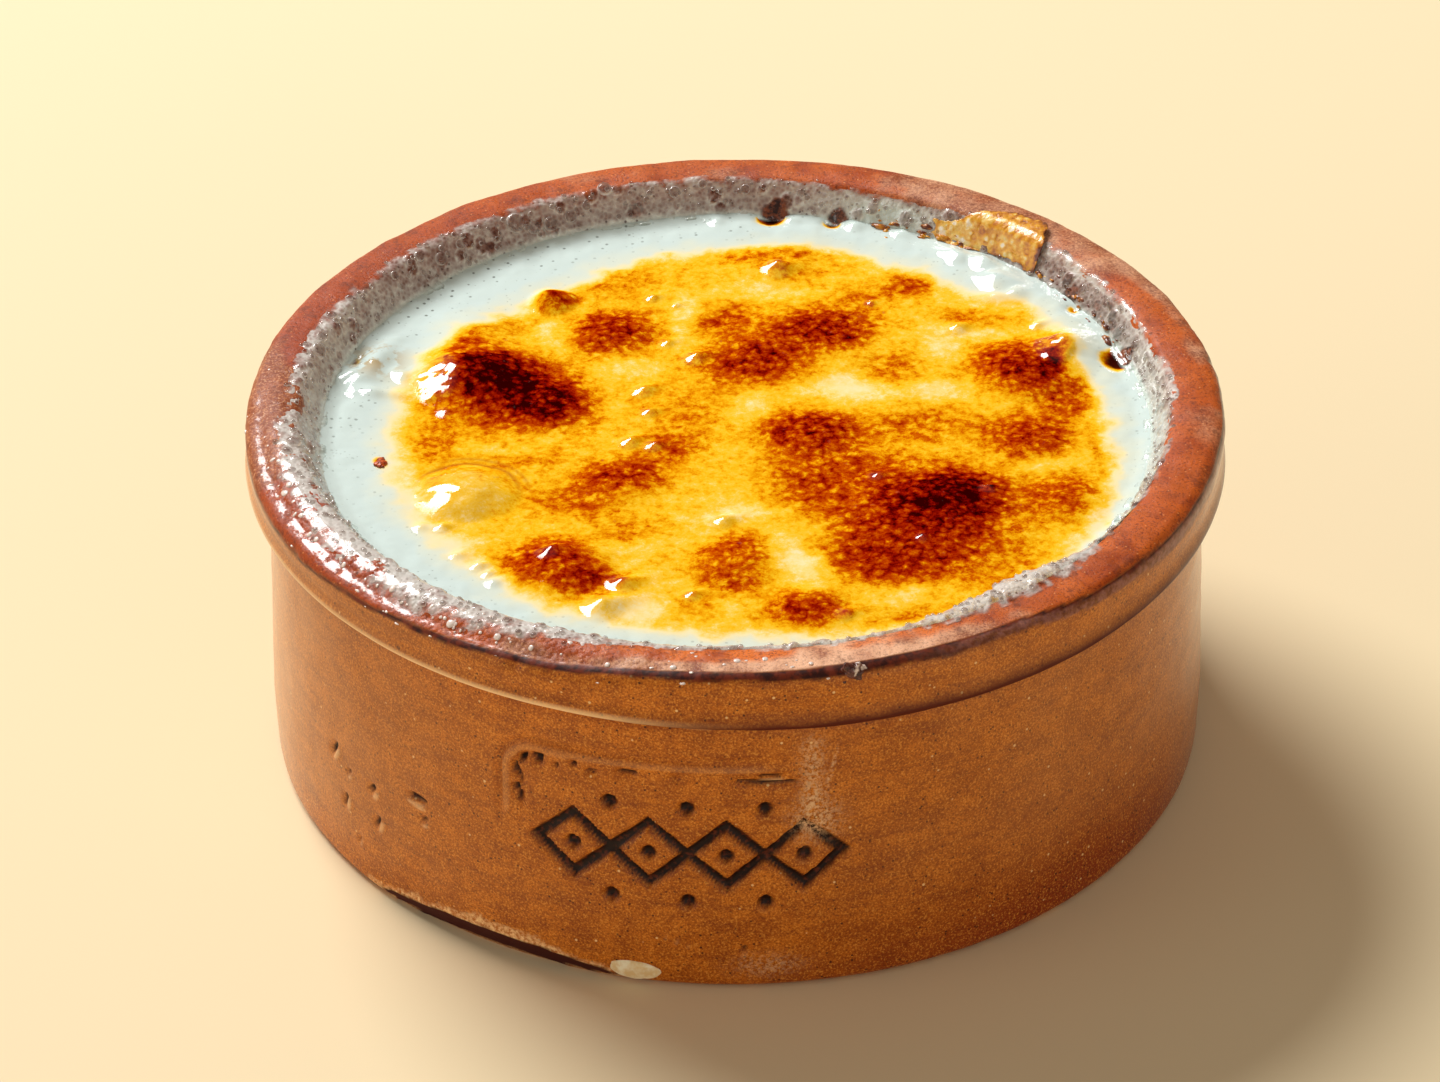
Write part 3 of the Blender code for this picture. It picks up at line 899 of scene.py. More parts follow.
def clay_relief(radius, height, bearings, places):
    """How far each point of the clay stands out, where the glaze pools, and a painted highlight on burrs and the
    stamp's ridge.
    """
    outer = (radius > CROWN_R) & (height > 0.05)
    on_body = outer & (height < COLLAR_Z - 0.5)
    along = round_wall(bearings, 0.0, body_radius(height))
    out = 0.16 * rough(places, 34.0, 2, 51) + 0.05 * rough(places, 5.0, 3, 52)
    throwing = noise(np.stack([bearings * 0.02, 0.0 * along, height], axis=-1), 1.7, 53)
    ringed = 0.35 + about(bearings, 50.0, 30.0)
    out = out + 0.055 * throwing * ringed * on_body
    bead = 0.30 * bell(height - COLLAR_Z - 0.8, 0.6) - 0.14 * bell(height - COLLAR_Z - 2.2, 0.9)
    out = out + (bead - 0.45 * bell(height - COLLAR_Z + 0.9, 0.8)) * outer
    depth = ornament_depth(along, height)
    front = on_body & (np.abs(along - STAMP_MIDDLE[0]) < STAMP_HALF[0] + 3.0)
    ridge, pressed = stamp_edge(along, height)
    depth = np.maximum(depth, pressed) - 0.5 * ridge
    depth = np.where(front, depth, 0.0)
    pits = pit_depth(bearings, height) * outer
    near, _, name = cells(places, 3.6, 55)
    tiny = 0.16 * bell(near, 0.09) * (name > 0.6) * on_body
    out = out - depth - pits - tiny
    # Painted highlight on the burrs beside the pits and on the stamp's ridge.
    painted_burr_light = smooth(0.05, 0.2, -pits) + 0.22 * smooth(0.14, 0.3, np.where(front, ridge, 0.0))
    on_rim = smooth(HEIGHT - 2.6, HEIGHT - 1.6, height)
    out = out + on_rim * (0.10 * rough(places, 1.8, 3, 57) + 0.16 * rough(places, 6.0, 2, 58))
    chips, _, chip_name = cells(places, 5.0, 59)
    out = out - on_rim * 0.35 * bell(chips, 0.16) * (chip_name > 0.7)
    pool = smooth(0.40, 0.76, np.maximum(depth * 1.02, pits * 1.6))
    return out, np.where(front | (pits > 0.1), pool, 0.0), 0.5 * np.clip(painted_burr_light, 0.0, 1.0)


def make_dish():
    outline = clay_outline()
    normals = facing(outline)
    fine = np.arange(FINE_FROM, FINE_TO, FINE_STEP)
    coarse = np.linspace(FINE_TO, FINE_FROM + 360.0, COARSE_COLUMNS + 1)[:-1]
    bearings, radius = np.meshgrid(np.concatenate([fine, coarse]), outline[:, 0])
    height = np.repeat(outline[:, 1:], bearings.shape[1], axis=1)
    places = wrapped(radius, bearings, height)
    out, pool, painted_burr_light = clay_relief(radius, height, bearings, places)
    fields = clay_fields(radius, height, bearings, places)
    hidden = (height < 0.05) | ((height < FLARE_Z) & (radius < FLARE_R + 0.5))
    out = out * ~hidden
    places = wrapped(radius + normals[:, :1] * out, bearings, height + normals[:, 1:] * out)
    above = trimmed(places)
    near_foot = height < 8.0
    ragged = rough(places, 1.4, 3, 61)
    band = 0.30 + 1.1 * about(bearings, -30.0, 8.0) + 0.4 * about(bearings, -44.0, 8.0)
    bare = smooth(band + 0.2, band - 0.2, above + 0.7 * ragged) * near_foot * (above < 8.0)
    # Painted shade: near black on the cut under the trimmed foot.
    under = smooth(0.12, -0.10, above + 0.1 * ragged) * near_foot
    nicks = smooth(0.75 + 0.5 * ragged, 0.3, height) * about(bearings, 40.0, 26.0)
    fields["bare"] = np.clip(bare + 0.8 * nicks * (ragged > 0.05), 0.0, 1.0)
    fields["under"] = under
    fields["pool"] = pool
    # The painted highlight on burrs and the ridge joins the one on the collar's edge.
    fields["worn"] = np.maximum(fields["worn"], painted_burr_light)
    fields["smear"] = smear_field(bearings, height)
    count, columns = bearings.size, bearings.shape[1]
    points = np.concatenate([places.reshape(-1, 3), [(0.0, 0.0, FLOOR_Z), (0.0, 0.0, 0.0)]])
    faces = [face[::-1] for face in ring_faces(len(outline), columns)]
    faces += fan(count, list(range(columns)), False)
    faces += fan(count + 1, list(range(count - columns, count)), True)
    values = {field: np.append(value, [0.0, 0.0]) for field, value in fields.items()}
    dish = piece("clay_dish", points, faces, glazed_clay(), values)
    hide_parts("dish")


def smear_field(bearings, height):
    """A pale mineral run down the front and a few scuffs at the foot."""
    across = round_wall(bearings, 8.4, BODY_TOP_R)
    run = bell(across, 1.3) * between(height, 20.5, 24.0, 34.0, 37.5)
    pool = bell(across - 0.4, 2.6) * bell(height - 24.2, 2.6)
    scuffs = 0.7 * bell(round_wall(bearings, 3.0, BODY_TOP_R), 3.5) * bell(height - 3.6, 1.4)
    scratch_line = (height - 30.8) * 0.24 - round_wall(bearings, 10.6, BODY_TOP_R)
    scratch = 1.4 * bell(scratch_line, 0.16) * bell(height - 31.2, 2.2)
    return np.clip(0.8 * run + pool + scuffs + scratch, 0.0, 1.0)


# ---------------------------------------------------------------- the pudding

# Cells along each side of the skin's grid.
SKIN_CELLS = 300

# Burnt places of the skin: x, y, reach along, reach across, turn in degrees, and how burnt.
SCORCHES = (
    (23, -20.5, 11.5, 12, 0, 0.81),
    (25.5, -16.5, 7, 5.5, 20, 0.97),
    (19, -28, 8.5, 6.5, 0, 0.78),
    (9.5, -1.5, 6.5, 6, 0, 0.80),
    (11.5, -12.5, 9, 8, 30, 0.70),
    (-28.5, 9, 10.5, 9.5, -20, 0.76),
    (-28.5, 10.5, 7, 5.5, -20, 1.00),
    (-23.5, 5.5, 6.5, 5, 0, 0.93),
    (-15.5, 22.5, 6.5, 5, 30, 0.80),
    (11, 22.5, 7.5, 5.5, 10, 0.82),
    (3, 16, 8, 6.5, 20, 0.77),
    (-1, 25, 5, 4, 0, 0.66),
    (36.5, 12.5, 8.5, 7, -30, 0.80),
    (42, 7, 4, 6, 0, 0.68),
    (36, -2.5, 6.5, 5.5, 0, 0.72),
    (40, -17, 6, 7, 0, 0.66),
    (45.5, -5.5, 2.5, 4, 0, 0.58),
    (22, 0, 8, 5, 0, 0.60),
    (-13.5, -11, 7, 4.5, 30, 0.74),
    (-18, -16, 6, 4.5, 0, 0.60),
    (-22.5, -29, 6.5, 4.5, 20, 0.77),
    (-18, -33, 4.5, 3.5, 0, 0.76),
    (0.5, -27, 4.5, 4, 0, 0.70),
    (-0.5, -32.5, 4.5, 4, 0, 0.68),
    (8, -39.5, 6, 3.5, 10, 0.74),
    (20.5, -42, 4.5, 2.2, 0, 0.58),
    (4, 41.5, 10, 3.6, 0, 0.60),
    (8.5, 37, 6, 4, 0, 0.54),
    (-14.5, 35.5, 6.5, 4, 20, 0.56),
    (23.5, 33.5, 5, 3, 20, 0.66),
    (16, 30, 5, 3.5, 20, 0.58),
    (20.5, 13.5, 5, 5, 0, 0.58),
    (-23.5, 30.5, 3.8, 3.2, 0, 0.80),
    (-35, 19, 6.5, 3.5, -30, 0.66),
    (-5.5, 3, 6, 6.5, 0, 0.56),
    (-7.5, -4, 4, 4, 0, 0.64),
    (-37, -3.5, 5, 4, 0, 0.60),
    (-25, -7, 5, 3, 0, 0.56),
    (-30, 24, 6, 3, 20, 0.56),
    (30, -30, 7, 7, 0, 0.56),
    (-13, -22, 5, 3.5, 0, 0.56),
    (-5, -39, 4, 3, 0, 0.52),
    (30.5, 25.5, 6, 2, -10, 0.56),
)

# Pale, creamy places between them: x, y, reach along, reach across, turn and how pale.
CREAMS = (
    (3, 32.5, 8, 3, 0, 0.15),
    (-6, 26.5, 2.6, 5.5, 0, 0.15),
    (-22.5, 22, 2.6, 7, 30, 0.16),
    (14.5, 9.5, 7, 3.4, 10, 0.17),
    (24.5, 8, 8.5, 3.2, 0, 0.15),
    (27, 19, 4.6, 8, 0, 0.16),
    (2.5, 4, 2.6, 6, -10, 0.14),
    (-13.5, 14.5, 5, 3.2, 0, 0.13),
    (-16, 6, 2.6, 6, 20, 0.10),
    (-32, -4.4, 8.5, 1.6, 4, 0.16),
    (-32.5, -15, 4.5, 4.5, 0, 0.04),
    (-12, -39.5, 7, 2.8, 0, 0.20),
    (8, -29.5, 3, 6, 30, 0.17),
    (0, -19.5, 8, 2.4, 5, 0.13),
    (-13, -26, 6, 2.2, 0, 0.12),
    (20, -36.5, 6, 2.5, 20, 0.12),
    (38, -9.5, 5, 2, 0, 0.12),
    (43, 1, 3, 1.6, 20, 0.10),
    (33, 21.5, 4, 2.4, -30, 0.12),
    (-33, -24, 5, 3, 0, 0.10),
)

# How far out the browned area reaches, by bearing.
BROWNED_REACH = (
    (-174, 42.8), (-160, 42), (-148, 40.3), (-136, 40.2), (-122, 42.5), (-104, 42.4), (-90, 43),
    (-76, 43.2), (-62, 43.5), (-48, 43.6), (-34, 44.6), (-20, 45.2), (0, 46), (20, 48),
    (40, 50.2), (56, 50), (70, 48.4), (84, 47.4), (98, 45.8), (112, 46.2), (124, 46.6),
    (136, 43.4), (150, 43.6), (164, 45),
)

# Swellings of the skin: x, y, reach, rise and how sharply they end.
SWELLINGS = (
    (-24, 6, 8, 0.6, 2),
    (-32.8, -14, 6.8, 1.7, 1.35),
    (-23, 30.3, 3.4, 1.2, 1.3),
    (23.5, -20, 14, 0.7, 2),
    (26, -16, 6, 0.5, 1.6),
    (8, 20.5, 12, 0.6, 2),
    (37, 13, 8.5, 1, 1.6),
    (-15.5, 22.5, 6, 0.6, 1.6),
    (9.5, -1.5, 6.5, 0.5, 1.8),
    (-21, -30, 7.5, 0.9, 1.6),
    (0, -29.5, 6.5, 0.5, 1.8),
    (8, -39.5, 5.5, 0.6, 1.6),
    (36, -2.5, 6, 0.4, 1.8),
    (40, -17, 6, 0.5, 1.8),
    (-14, -12, 7, 0.5, 1.8),
    (-33, 23.5, 7, 0.6, 1.6),
    (5, 39, 7, 0.5, 1.8),
)

# The middle of the big blister.
BIG_BLISTER = (-32.8, -14.0)

# Small round blisters that catch the light: x, y, radius and rise.
BLISTERS = (
    (5.6, 37, 1.7, 0.55),
    (-10.5, 30.8, 0.9, 0.35),
    (-8.6, 19.8, 0.9, 0.35),
    (-5.2, 16.2, 1.4, 0.5),
    (-11.6, 8.6, 1.3, 0.5),
    (-10.8, 3.6, 1, 0.4),
    (-13.2, -3.2, 1.3, 0.5),
    (-10.2, -4, 1.1, 0.45),
    (40.9, 17.4, 1.3, 0.5),
    (39.4, 14.8, 1.2, 0.5),
    (38.2, 22.6, 0.9, 0.35),
    (28, 22.6, 1.3, 0.45),
    (-13.8, -34.4, 1.7, 0.6),
    (-5.6, -36.6, 1, 0.4),
    (12.4, -41, 1.1, 0.45),
    (17, -11.6, 0.9, 0.35),
    (30.4, -15, 0.9, 0.4),
    (17.4, 29, 0.7, 0.25),
    (-16.2, -39, 2.2, 0.6),
    (-22.6, -28, 1.4, 0.5),
    (-36, 4, 0.9, 0.3),
    (-7.4, 29, 0.6, 0.25),
    (22, -25.5, 0.7, 0.3),
    (-2, -21, 1.4, 0.3),
    (-35.6, -21.6, 1, 0.35),
    (-31, -30, 0.9, 0.35),
    (-29.8, -31.6, 0.7, 0.3),
)

# Waves of thick milk beside the wall: x, y, reach along, reach across, turn in degrees and rise.
MILK_WAVES = (
    (33.6, 29.6, 2.4, 1.1, -12, 0.40),
    (29.4, 38.4, 1.6, 0.9, 10, 0.35),
    (-48, 13, 1.6, 0.9, 40, 0.45),
    (-42.5, 8.5, 2, 0.9, -15, 0.35),
    (8, 49.4, 1.6, 0.9, 0, 0.45),
)

# Holes burnt through at the wall: bearing, half width along the wall, and depth.
BURNT_GAPS = (
    (174, 1.9, 2.2), (165, 1.3, 1.6), (107, 2.2, 2.6), (121, 1, 1.2), (-109, 0.9, 1.2),
)


def disc(count):
    """An even grid of points over the unit disc."""
    line = np.linspace(-1.0, 1.0, count + 1)
    across, along = np.meshgrid(line, line, indexing="xy")
    wide = np.abs(across) >= np.abs(along)
    safe_across = np.where(np.abs(across) < 1e-9, 1e-9, across)
    safe_along = np.where(np.abs(along) < 1e-9, 1e-9, along)
    radius = np.where(wide, across, along)
    angle = np.where(wide, 0.25 * np.pi * along / safe_across, 0.5 * np.pi - 0.25 * np.pi * across / safe_along)
    return radius * np.cos(angle), radius * np.sin(angle)


def spot(x, y, middle_x, middle_y, reach_along, reach_across, turn):
    """1 in the middle of an oval and 0 beyond its reach."""
    along, across = turned(x - middle_x, y - middle_y, turn)
    return smooth(1.25, 0.1, np.hypot(along / reach_along, across / reach_across))


def burn_map(x, y):
    """How burnt the skin is, with a touch of painted shade behind each blister: 0 is milk, 0.3 cream, 0.5 gold and
    1 black.
    """
    places = flat(x, y)
    shift_x = x + 1.3 * rough(places, 4.5, 3, 71)
    shift_y = y + 1.3 * rough(places, 4.5, 3, 72)
    bearings = bearing_of(x, y)
    reach = round_values(bearings, BROWNED_REACH) + 2.0 * rough(places, 2.8, 4, 73)
    inside = reach - np.hypot(x, y)
    burn = 0.43 + 0.09 * rough(places, 8.0, 3, 74)
    for middle_x, middle_y, along, across, turn, pale in CREAMS:
        burn = burn - pale * spot(shift_x, shift_y, middle_x, middle_y, along, across, turn)
    for middle_x, middle_y, along, across, turn, burnt in SCORCHES:
        here = spot(shift_x, shift_y, middle_x, middle_y, along * 1.24, across * 1.24, turn)
        burn = np.maximum(burn, burn + (burnt - burn) * here)
    fringe = 2.6 + 1.3 * about(bearings, -76.0, 52.0)
    burn = burn * smooth(-0.45, 1.15, inside / fringe) + 0.09 * between(inside, -4.0, 0.0, -0.5, 3.0)
    fleck = spot(x, y, -43.4, -6.9, 1.0, 1.6, 20.0) * smooth(-0.5, 0.1, rough(places, 1.0, 2, 75))
    singed = gap_shape(x, y) + 0.12 * rough(places, 1.2, 3, 76)
    scorched = 0.66 * smooth(0.10, 0.5, singed) * (np.hypot(x, y) < FLARE_R - 0.2)
    # Painted shade: a little more burn on the back right of each blister.
    for middle_x, middle_y, reach, _ in BLISTERS:
        shaded = np.hypot(x - middle_x - 0.5 * reach, y - middle_y - 0.3 * reach) / reach
        burn = burn + 0.02 * smooth(1.2, 0.4, shaded) * smooth(0.3, 0.4, burn)
    return np.maximum(np.maximum(burn, 0.86 * fleck), scorched)


def crinkled(x, y):
    """1 where the skin on the flanks of the two side scorches has shrunk into wrinkles."""
    places = flat(x, y)
    both = np.maximum(spot(x, y, -37.2, 10.6, 3.4, 5.4, 0.0), spot(x, y, 40.0, 16.2, 2.9, 4.2, 20.0))
    return smooth(0.25, 0.5, both + 0.25 * rough(places, 1.6, 3, 78))


# The way in which the steep sides that glint rise.
GLINT_WAY = (0.88, 0.475)


def along_glint(x, y):
    """The same offsets along and across that way."""
    way_x, way_y = GLINT_WAY
    return way_x * x + way_y * y, way_x * y - way_y * x


def shine_field(x, y):
    """1 where the skin is wet: the blisters, the wrinkles and the waves of milk."""
    shine = crinkled(x, y)
    for middle_x, middle_y, reach, _ in (*BLISTERS, (*BIG_BLISTER, 5.2, 0.0)):
        along, _ = along_glint(x - middle_x, y - middle_y)
        near = smooth(1.3, 0.9, np.hypot(x - middle_x, y - middle_y) / reach)
        shine = np.maximum(shine, near * smooth(0.75 * reach, 0.3 * reach, along))
    return shine


def gap_shape(x, y):
    """How deep the holes burnt through at the wall are."""
    bearings = bearing_of(x, y)
    out = np.hypot(x, y) - FLARE_R + 0.6
    depth = np.zeros_like(x)
    for bearing, half_width, deep in BURNT_GAPS:
        across = round_wall(bearings, bearing, FLARE_R)
        depth = np.maximum(depth, 0.4 * deep * bell(across, half_width) * bell(out, half_width * 0.9))
    return depth


# Steep, straight sides of the skin and of the milk: x, y, half width, reach beside and behind.
FLANKS = (
    (-37.2, 10.6, 3.2, 6.5, 8),
    (40.2, 16.4, 2, 3, 3),
    (27.8, 39.6, 0.9, 2, 1.8),
    (31.4, 37.2, 1.2, 2.4, 2),
    (34.8, 35, 0.6, 1.4, 1.4),
    (32.6, 32.4, 1.1, 2.3, 2.2),
    (35.4, 29.6, 0.6, 1.4, 1.6),
    (-24.6, 29.8, 0.8, 1.2, 1.6),
    (-45.4, 16.4, 0.9, 2, 1.8),
    (-42.2, 12.6, 0.8, 1.8, 1.6),
    (-45.6, 8.2, 0.7, 1.4, 1.4),
    (-38.4, -21.6, 0.5, 0.9, 1.2),
    (-33.8, -27.8, 0.5, 0.8, 1.2),
    (-29.4, -33.6, 0.5, 0.8, 1.2),
    (5, 37.2, 1, 1.4, 1.4),
    (-14.4, -34.6, 0.9, 1.2, 1.4),
    (-17, -39.2, 1.2, 1.6, 2),
    (-2.6, 49, 0.7, 1.2, 1.2),
    (15.4, 47.4, 0.8, 1.2, 1.2),
    (21.4, 45.4, 0.9, 1.2, 1.2),
)


def flanks(x, y, sides):
    """How far the skin and the milk rise behind each steep side."""
    rise = np.zeros_like(x)
    for middle_x, middle_y, half, beside, behind in sides:
        along, across = along_glint(x - middle_x, y - middle_y)
        fall = bell(np.maximum(along - half, 0.0), behind) * bell(across, beside)
        rise = np.maximum(rise, 0.72 * half * np.clip(0.5 + 0.5 * along / half, 0.0, 1.0) * fall)
    return rise


def skin_height(x, y, burn):
    """How far the skin rises over the pudding's level."""
    places = flat(x, y)
    radius = np.hypot(x, y)
    rise = 0.10 * rough(places, 7.0, 2, 81) + 0.03 * rough(places, 2.2, 2, 82)
    for middle_x, middle_y, reach, up, sharp in SWELLINGS:
        distance = np.hypot(x - middle_x, y - middle_y) / reach
        distance = distance + 0.10 * rough(places, 3.0, 2, 83)
        rise = rise + up * np.clip(1.0 - distance * distance, 0.0, 1.0) ** sharp
    for middle_x, middle_y, reach, up in BLISTERS:
        distance = np.hypot(x - middle_x, y - middle_y) / (1.35 * reach)
        rise = rise + 0.4 * up * np.clip(1.0 - distance * distance, 0.0, 1.0)
    sides = [(*middle, 0.5 * reach, 0.7 * reach, 1.5 * reach) for *middle, reach, _ in BLISTERS]
    rise = rise + flanks(x, y, (*FLANKS, *sides))
    near = cells(places, 1.3, 84)[0]
    lumps = 0.07 * smooth(0.75, 0.1, near) + 0.04 * rough(places, 1.0, 2, 85)
    rise = rise + lumps * smooth(0.45, 0.85, burn)
    rise = rise + crinkled(x, y) * (0.2 + 0.22 * rough(places, 1.7, 3, 86))
    bearings = bearing_of(x, y)
    banked = about(bearings, 132.0, 20.0) + 0.6 * about(bearings, 172.0, 14.0)
    rise = rise + 1.0 * banked * smooth(FLARE_R - 9.0, FLARE_R - 2.0, radius + rough(places, 5.0, 2, 87))
    for middle_x, middle_y, reach, across, turn, up in MILK_WAVES:
        along, beside = turned(x - middle_x, y - middle_y, turn)
        beside = beside + 0.3 * rough(places, 1.6, 2, 90)
        rise = rise + up * np.exp(-((along / reach) ** 2) - (beside / across) ** 2)
    rise = rise + 0.10 * smooth(0.3, 0.1, burn) * smooth(44.0, 48.0, radius) * rough(places, 1.8, 2, 79)
    left_ripple = about(bearings, -107.0, 11.0) * bell(radius - 48.0, 2.2)
    rise = rise + (0.7 + 0.5 * rough(places, 3.0, 2, 88)) * left_ripple
    wall = smooth(FLARE_R - 1.8, FLARE_R + 0.4, radius)
    return rise * (1.0 - 0.6 * wall) + 0.45 * wall - gap_shape(x, y)


def fold_lines(x, y):
    """Two thin amber creases round the big blister."""
    places = flat(x, y)
    wander = 0.5 * rough(places, 4.0, 2, 89)
    ring = np.hypot(x - BIG_BLISTER[0], y - BIG_BLISTER[1]) + wander
    away = turn_between(bearing_of(x - BIG_BLISTER[0], y - BIG_BLISTER[1]), 170.0)
    upper = bell(ring - 6.5, 0.32) * smooth(100.0, 40.0, np.abs(away))
    second = bell(ring - 7.6, 0.25) * smooth(70.0, 30.0, np.abs(away + 20.0))
    return np.clip(0.85 * upper + 0.6 * second, 0.0, 1.0)


def pudding_sides(skin, edge, reach):
    """The skin's points with those of the sides and the underside, and the faces of these two."""
    base = FLOOR_Z + 0.3
    outline = [(WELL_R + 1.2, FLARE_Z - 8.0), (WELL_R - 0.3, FLOOR_Z + FLOOR_ROUND), (WELL_R - 5.0, base)]
    rings = [skin[edge] * [radius / reach, radius / reach, 0.0] + [0.0, 0.0, height] for radius, height in outline]
    starts = [len(skin) + step * len(edge) for step in range(len(outline) + 1)]
    loops = [edge] + [list(range(start, start + len(edge))) for start in starts[:-1]]
    faces = []
    for upper, lower in zip(loops, loops[1:]):
        for first in range(len(edge)):
            after = (first + 1) % len(edge)
            faces.append((upper[first], lower[first], lower[after], upper[after]))
    faces += fan(starts[-1], loops[-1], True)
    return np.concatenate([skin, *rings, [(0.0, 0.0, base)]]), faces


def make_pudding():
    count = SKIN_CELLS
    reach = FLARE_R + 0.55
    unit_x, unit_y = disc(count)
    x, y = unit_x * reach, unit_y * reach
    burn = burn_map(x, y)
    z = LEVEL + skin_height(x, y, burn)
    charred = smooth(0.35, 0.75, gap_shape(x, y))
    fold = fold_lines(x, y)
    near_wall = smooth(FLARE_R - 9.0, FLARE_R - 3.0, np.hypot(x, y))
    near_wall = near_wall * (0.12 + 0.88 * about(bearing_of(x, y), -136.0, 40.0))
    index = np.arange((count + 1) ** 2).reshape(count + 1, count + 1)
    edge = [*index[0, :-1], *index[:-1, -1], *index[-1, :0:-1], *index[:0:-1, 0]]
    skin = np.stack([x, y, z], axis=-1).reshape(-1, 3)
    points, sides = pudding_sides(skin, [int(corner) for corner in edge], reach)
    faces = grid_faces(count + 1, count + 1).tolist() + sides
    below = np.zeros(len(points) - burn.size)
    fields = {"burn": burn, "charred": charred, "fold": fold, "edge": near_wall, "shine": shine_field(x, y)}
    fields["stain"] = spot(x, y, -45.0, 16.0, 5.0, 4.5, 20.0)
    fields = {name: np.append(value, below) for name, value in fields.items()}
    pudding = piece("pudding_body", points, faces, pudding_skin(), fields)
    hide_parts("pudding")


# ---------------------------------------------------------------- foam on the wall

# How far the dried foam reaches up the wall and over the rim, by bearing.
FOAM_REACH = (
    (-165, 6.8), (-150, 7.2), (-128, 7.4), (-111, 8.2), (-97, 8.2), (-86, 9.2), (-74, 10.2),
    (-60, 11), (-44, 11), (-30, 9.8), (-14, 7.8), (0, 6.9), (18, 6.9), (34, 8),
    (46, 7.6), (60, 6.2), (75, 6.5), (90, 7), (105, 6.8), (125, 7), (142, 6),
    (160, 6.2), (180, 6.6),
)

# How far in over the milk it starts.
FOAM_INNER = 1.5

# The rows and columns of its mesh, and the rows that its underside repeats, sunk into the clay.
FOAM_ROWS, FOAM_COLUMNS = 34, 1150
FOAM_UNDERSIDE = (-1, 15, 0)


def foam_section():
    """The path over which the foam lies, from the milk's edge up the wall and over the rim."""
    inner, crown, outer = lip_arcs()
    wall_r = FLARE_R + (LEVEL - FLARE_Z) * (inner[0][0] - FLARE_R) / (inner[0][1] - FLARE_Z)
    start = [(wall_r - FOAM_INNER, LEVEL + 0.1), (wall_r - 0.3, LEVEL + 0.35)]
    points = np.array([*start, *inner, *crown[1:], *outer[1:]])
    return points, run_lengths(points)


def make_foam():
    columns = FOAM_COLUMNS
    bearings = np.linspace(-180.0, 180.0, columns + 1)[:-1]
    share = np.linspace(0.0, 1.0, FOAM_ROWS)
    wobble = wrapped(FLARE_R, bearings, np.zeros(columns))
    reach = round_values(bearings, FOAM_REACH) + 0.8 * rough(wobble, 4.0, 3, 91)
    bearings, share = np.meshgrid(bearings, share)
    travel = share * reach
    radius, height, out_r, out_z = on_foam(travel)
    places = wrapped(radius, bearings, height)
    big, _, big_name = cells(places * [1.0, 1.0, 0.7], 2.1, 93)
    fine, _, fine_name = cells(places, 1.0, 97)
    has_big = (big_name > 0.45) * smooth(8.5, 6.0, travel)
    size = 0.35 + 0.3 * np.abs(big_name - 0.5)
    domes = 0.30 * has_big * dome(big, size)
    froth = 0.07 * dome(fine, 0.5)
    taper = smooth(1.0, 0.86, share) * smooth(0.0, 0.12, share)
    hole = foam_holes(bearings, travel)
    lip_bank = 0.45 * about(bearings, 2.0, 34.0) + 1.9 * about(bearings, 37.0, 11.0)
    banked = lip_bank * bell(travel - 4.6, 1.5) * (1.0 + 0.35 * rough(places, 1.6, 3, 94))
    thick = 0.06 + froth + domes + 0.08 * rough(places, 3.0, 2, 95)
    thick = (thick + banked) * taper - 0.05 * (1.0 - taper)
    top = wrapped(radius + out_r * thick, bearings, height + out_z * thick)
    dark = has_big * smooth(size + 0.02, size - 0.12, big) + 0.45 * smooth(0.34, 0.18, fine) * (fine_name > 0.5)
    ring = has_big * bell(big - size - 0.03, 0.05)
    tone = foam_tone(bearings, share, places) - 0.42 * dark + 0.35 * ring
    right = about(bearings, 84.0, 32.0)
    beside_flake = about(bearings, 157.0, 8.0)
    milky = smooth(2.4, 0.8, travel) + (0.6 * right + 0.9 * beside_flake) * smooth(6.0, 3.5, travel)
    milky = np.clip(milky, 0.0, 1.0) * (1.0 - 0.6 * beside_flake * dark)
    patchy = smooth(-0.6, 0.1, rough(places, 2.2, 3, 96) + smooth(9.5, 5.5, travel))
    cover = smooth(1.0, 0.78, share + 0.2 * rough(places, 1.1, 2, 98)) * smooth(0.0, 0.16, share) * patchy
    sunk = wrapped(radius - out_r * 0.25, bearings, height - out_z * 0.25)[FOAM_UNDERSIDE, :]
    grid = np.concatenate([top, sunk])
    total_rows = grid.shape[0]
    faces = [face[::-1] for face in ring_faces(total_rows, columns)]
    last = (total_rows - 1) * columns
    for column in range(columns):
        after = (column + 1) % columns
        faces.append((last + column, column, after, last + after))
    pad = np.zeros((len(sunk), columns))
    fields = {"tone": tone, "milky": milky, "cover": cover, "hole": hole}
    fields |= {"froth": cover * smooth(1.4, 2.6, travel) * (1.0 - hole)}
    fields = {name: np.concatenate([value, pad]) for name, value in fields.items()}
    return piece("wall_foam", grid.reshape(-1, 3), faces, milk_film(), fields)


def foam_tone(bearings, share, places):
    """How pale the foam is between its bubbles, from 0 for clay to 1 for milk."""
    tone = 0.54 + 0.16 * rough(places, 3.5, 3, 99) - 0.02 * about(bearings, 84.0, 32.0)
    # Paler at the front left: dried milk, and partly a painted highlight where the glints fall.
    tone = tone + (0.52 + 0.42 * rough(places, 1.6, 3, 100)) * about(bearings, -50.0, 38.0)
    tone = tone - 0.26 * about(bearings, 108.0, 24.0) * smooth(0.8, 0.5, share)
    # A pale line along the foam's top edge at the back right: dried crust, partly painted as a highlight.
    tone = tone + 0.9 * about(bearings, 112.0, 20.0) * bell(share - 0.84, 0.12)
    for bearing, width, more in ((-98.0, 26.0, 0.24), (26.0, 32.0, 0.6), (170.0, 40.0, 0.12)):
        tone = tone + more * about(bearings, bearing, width)
    return tone


def on_foam(travel):
    """Radius, height and outward direction of the wall under the foam, this far along its section."""
    return along_path(travel, *foam_section())


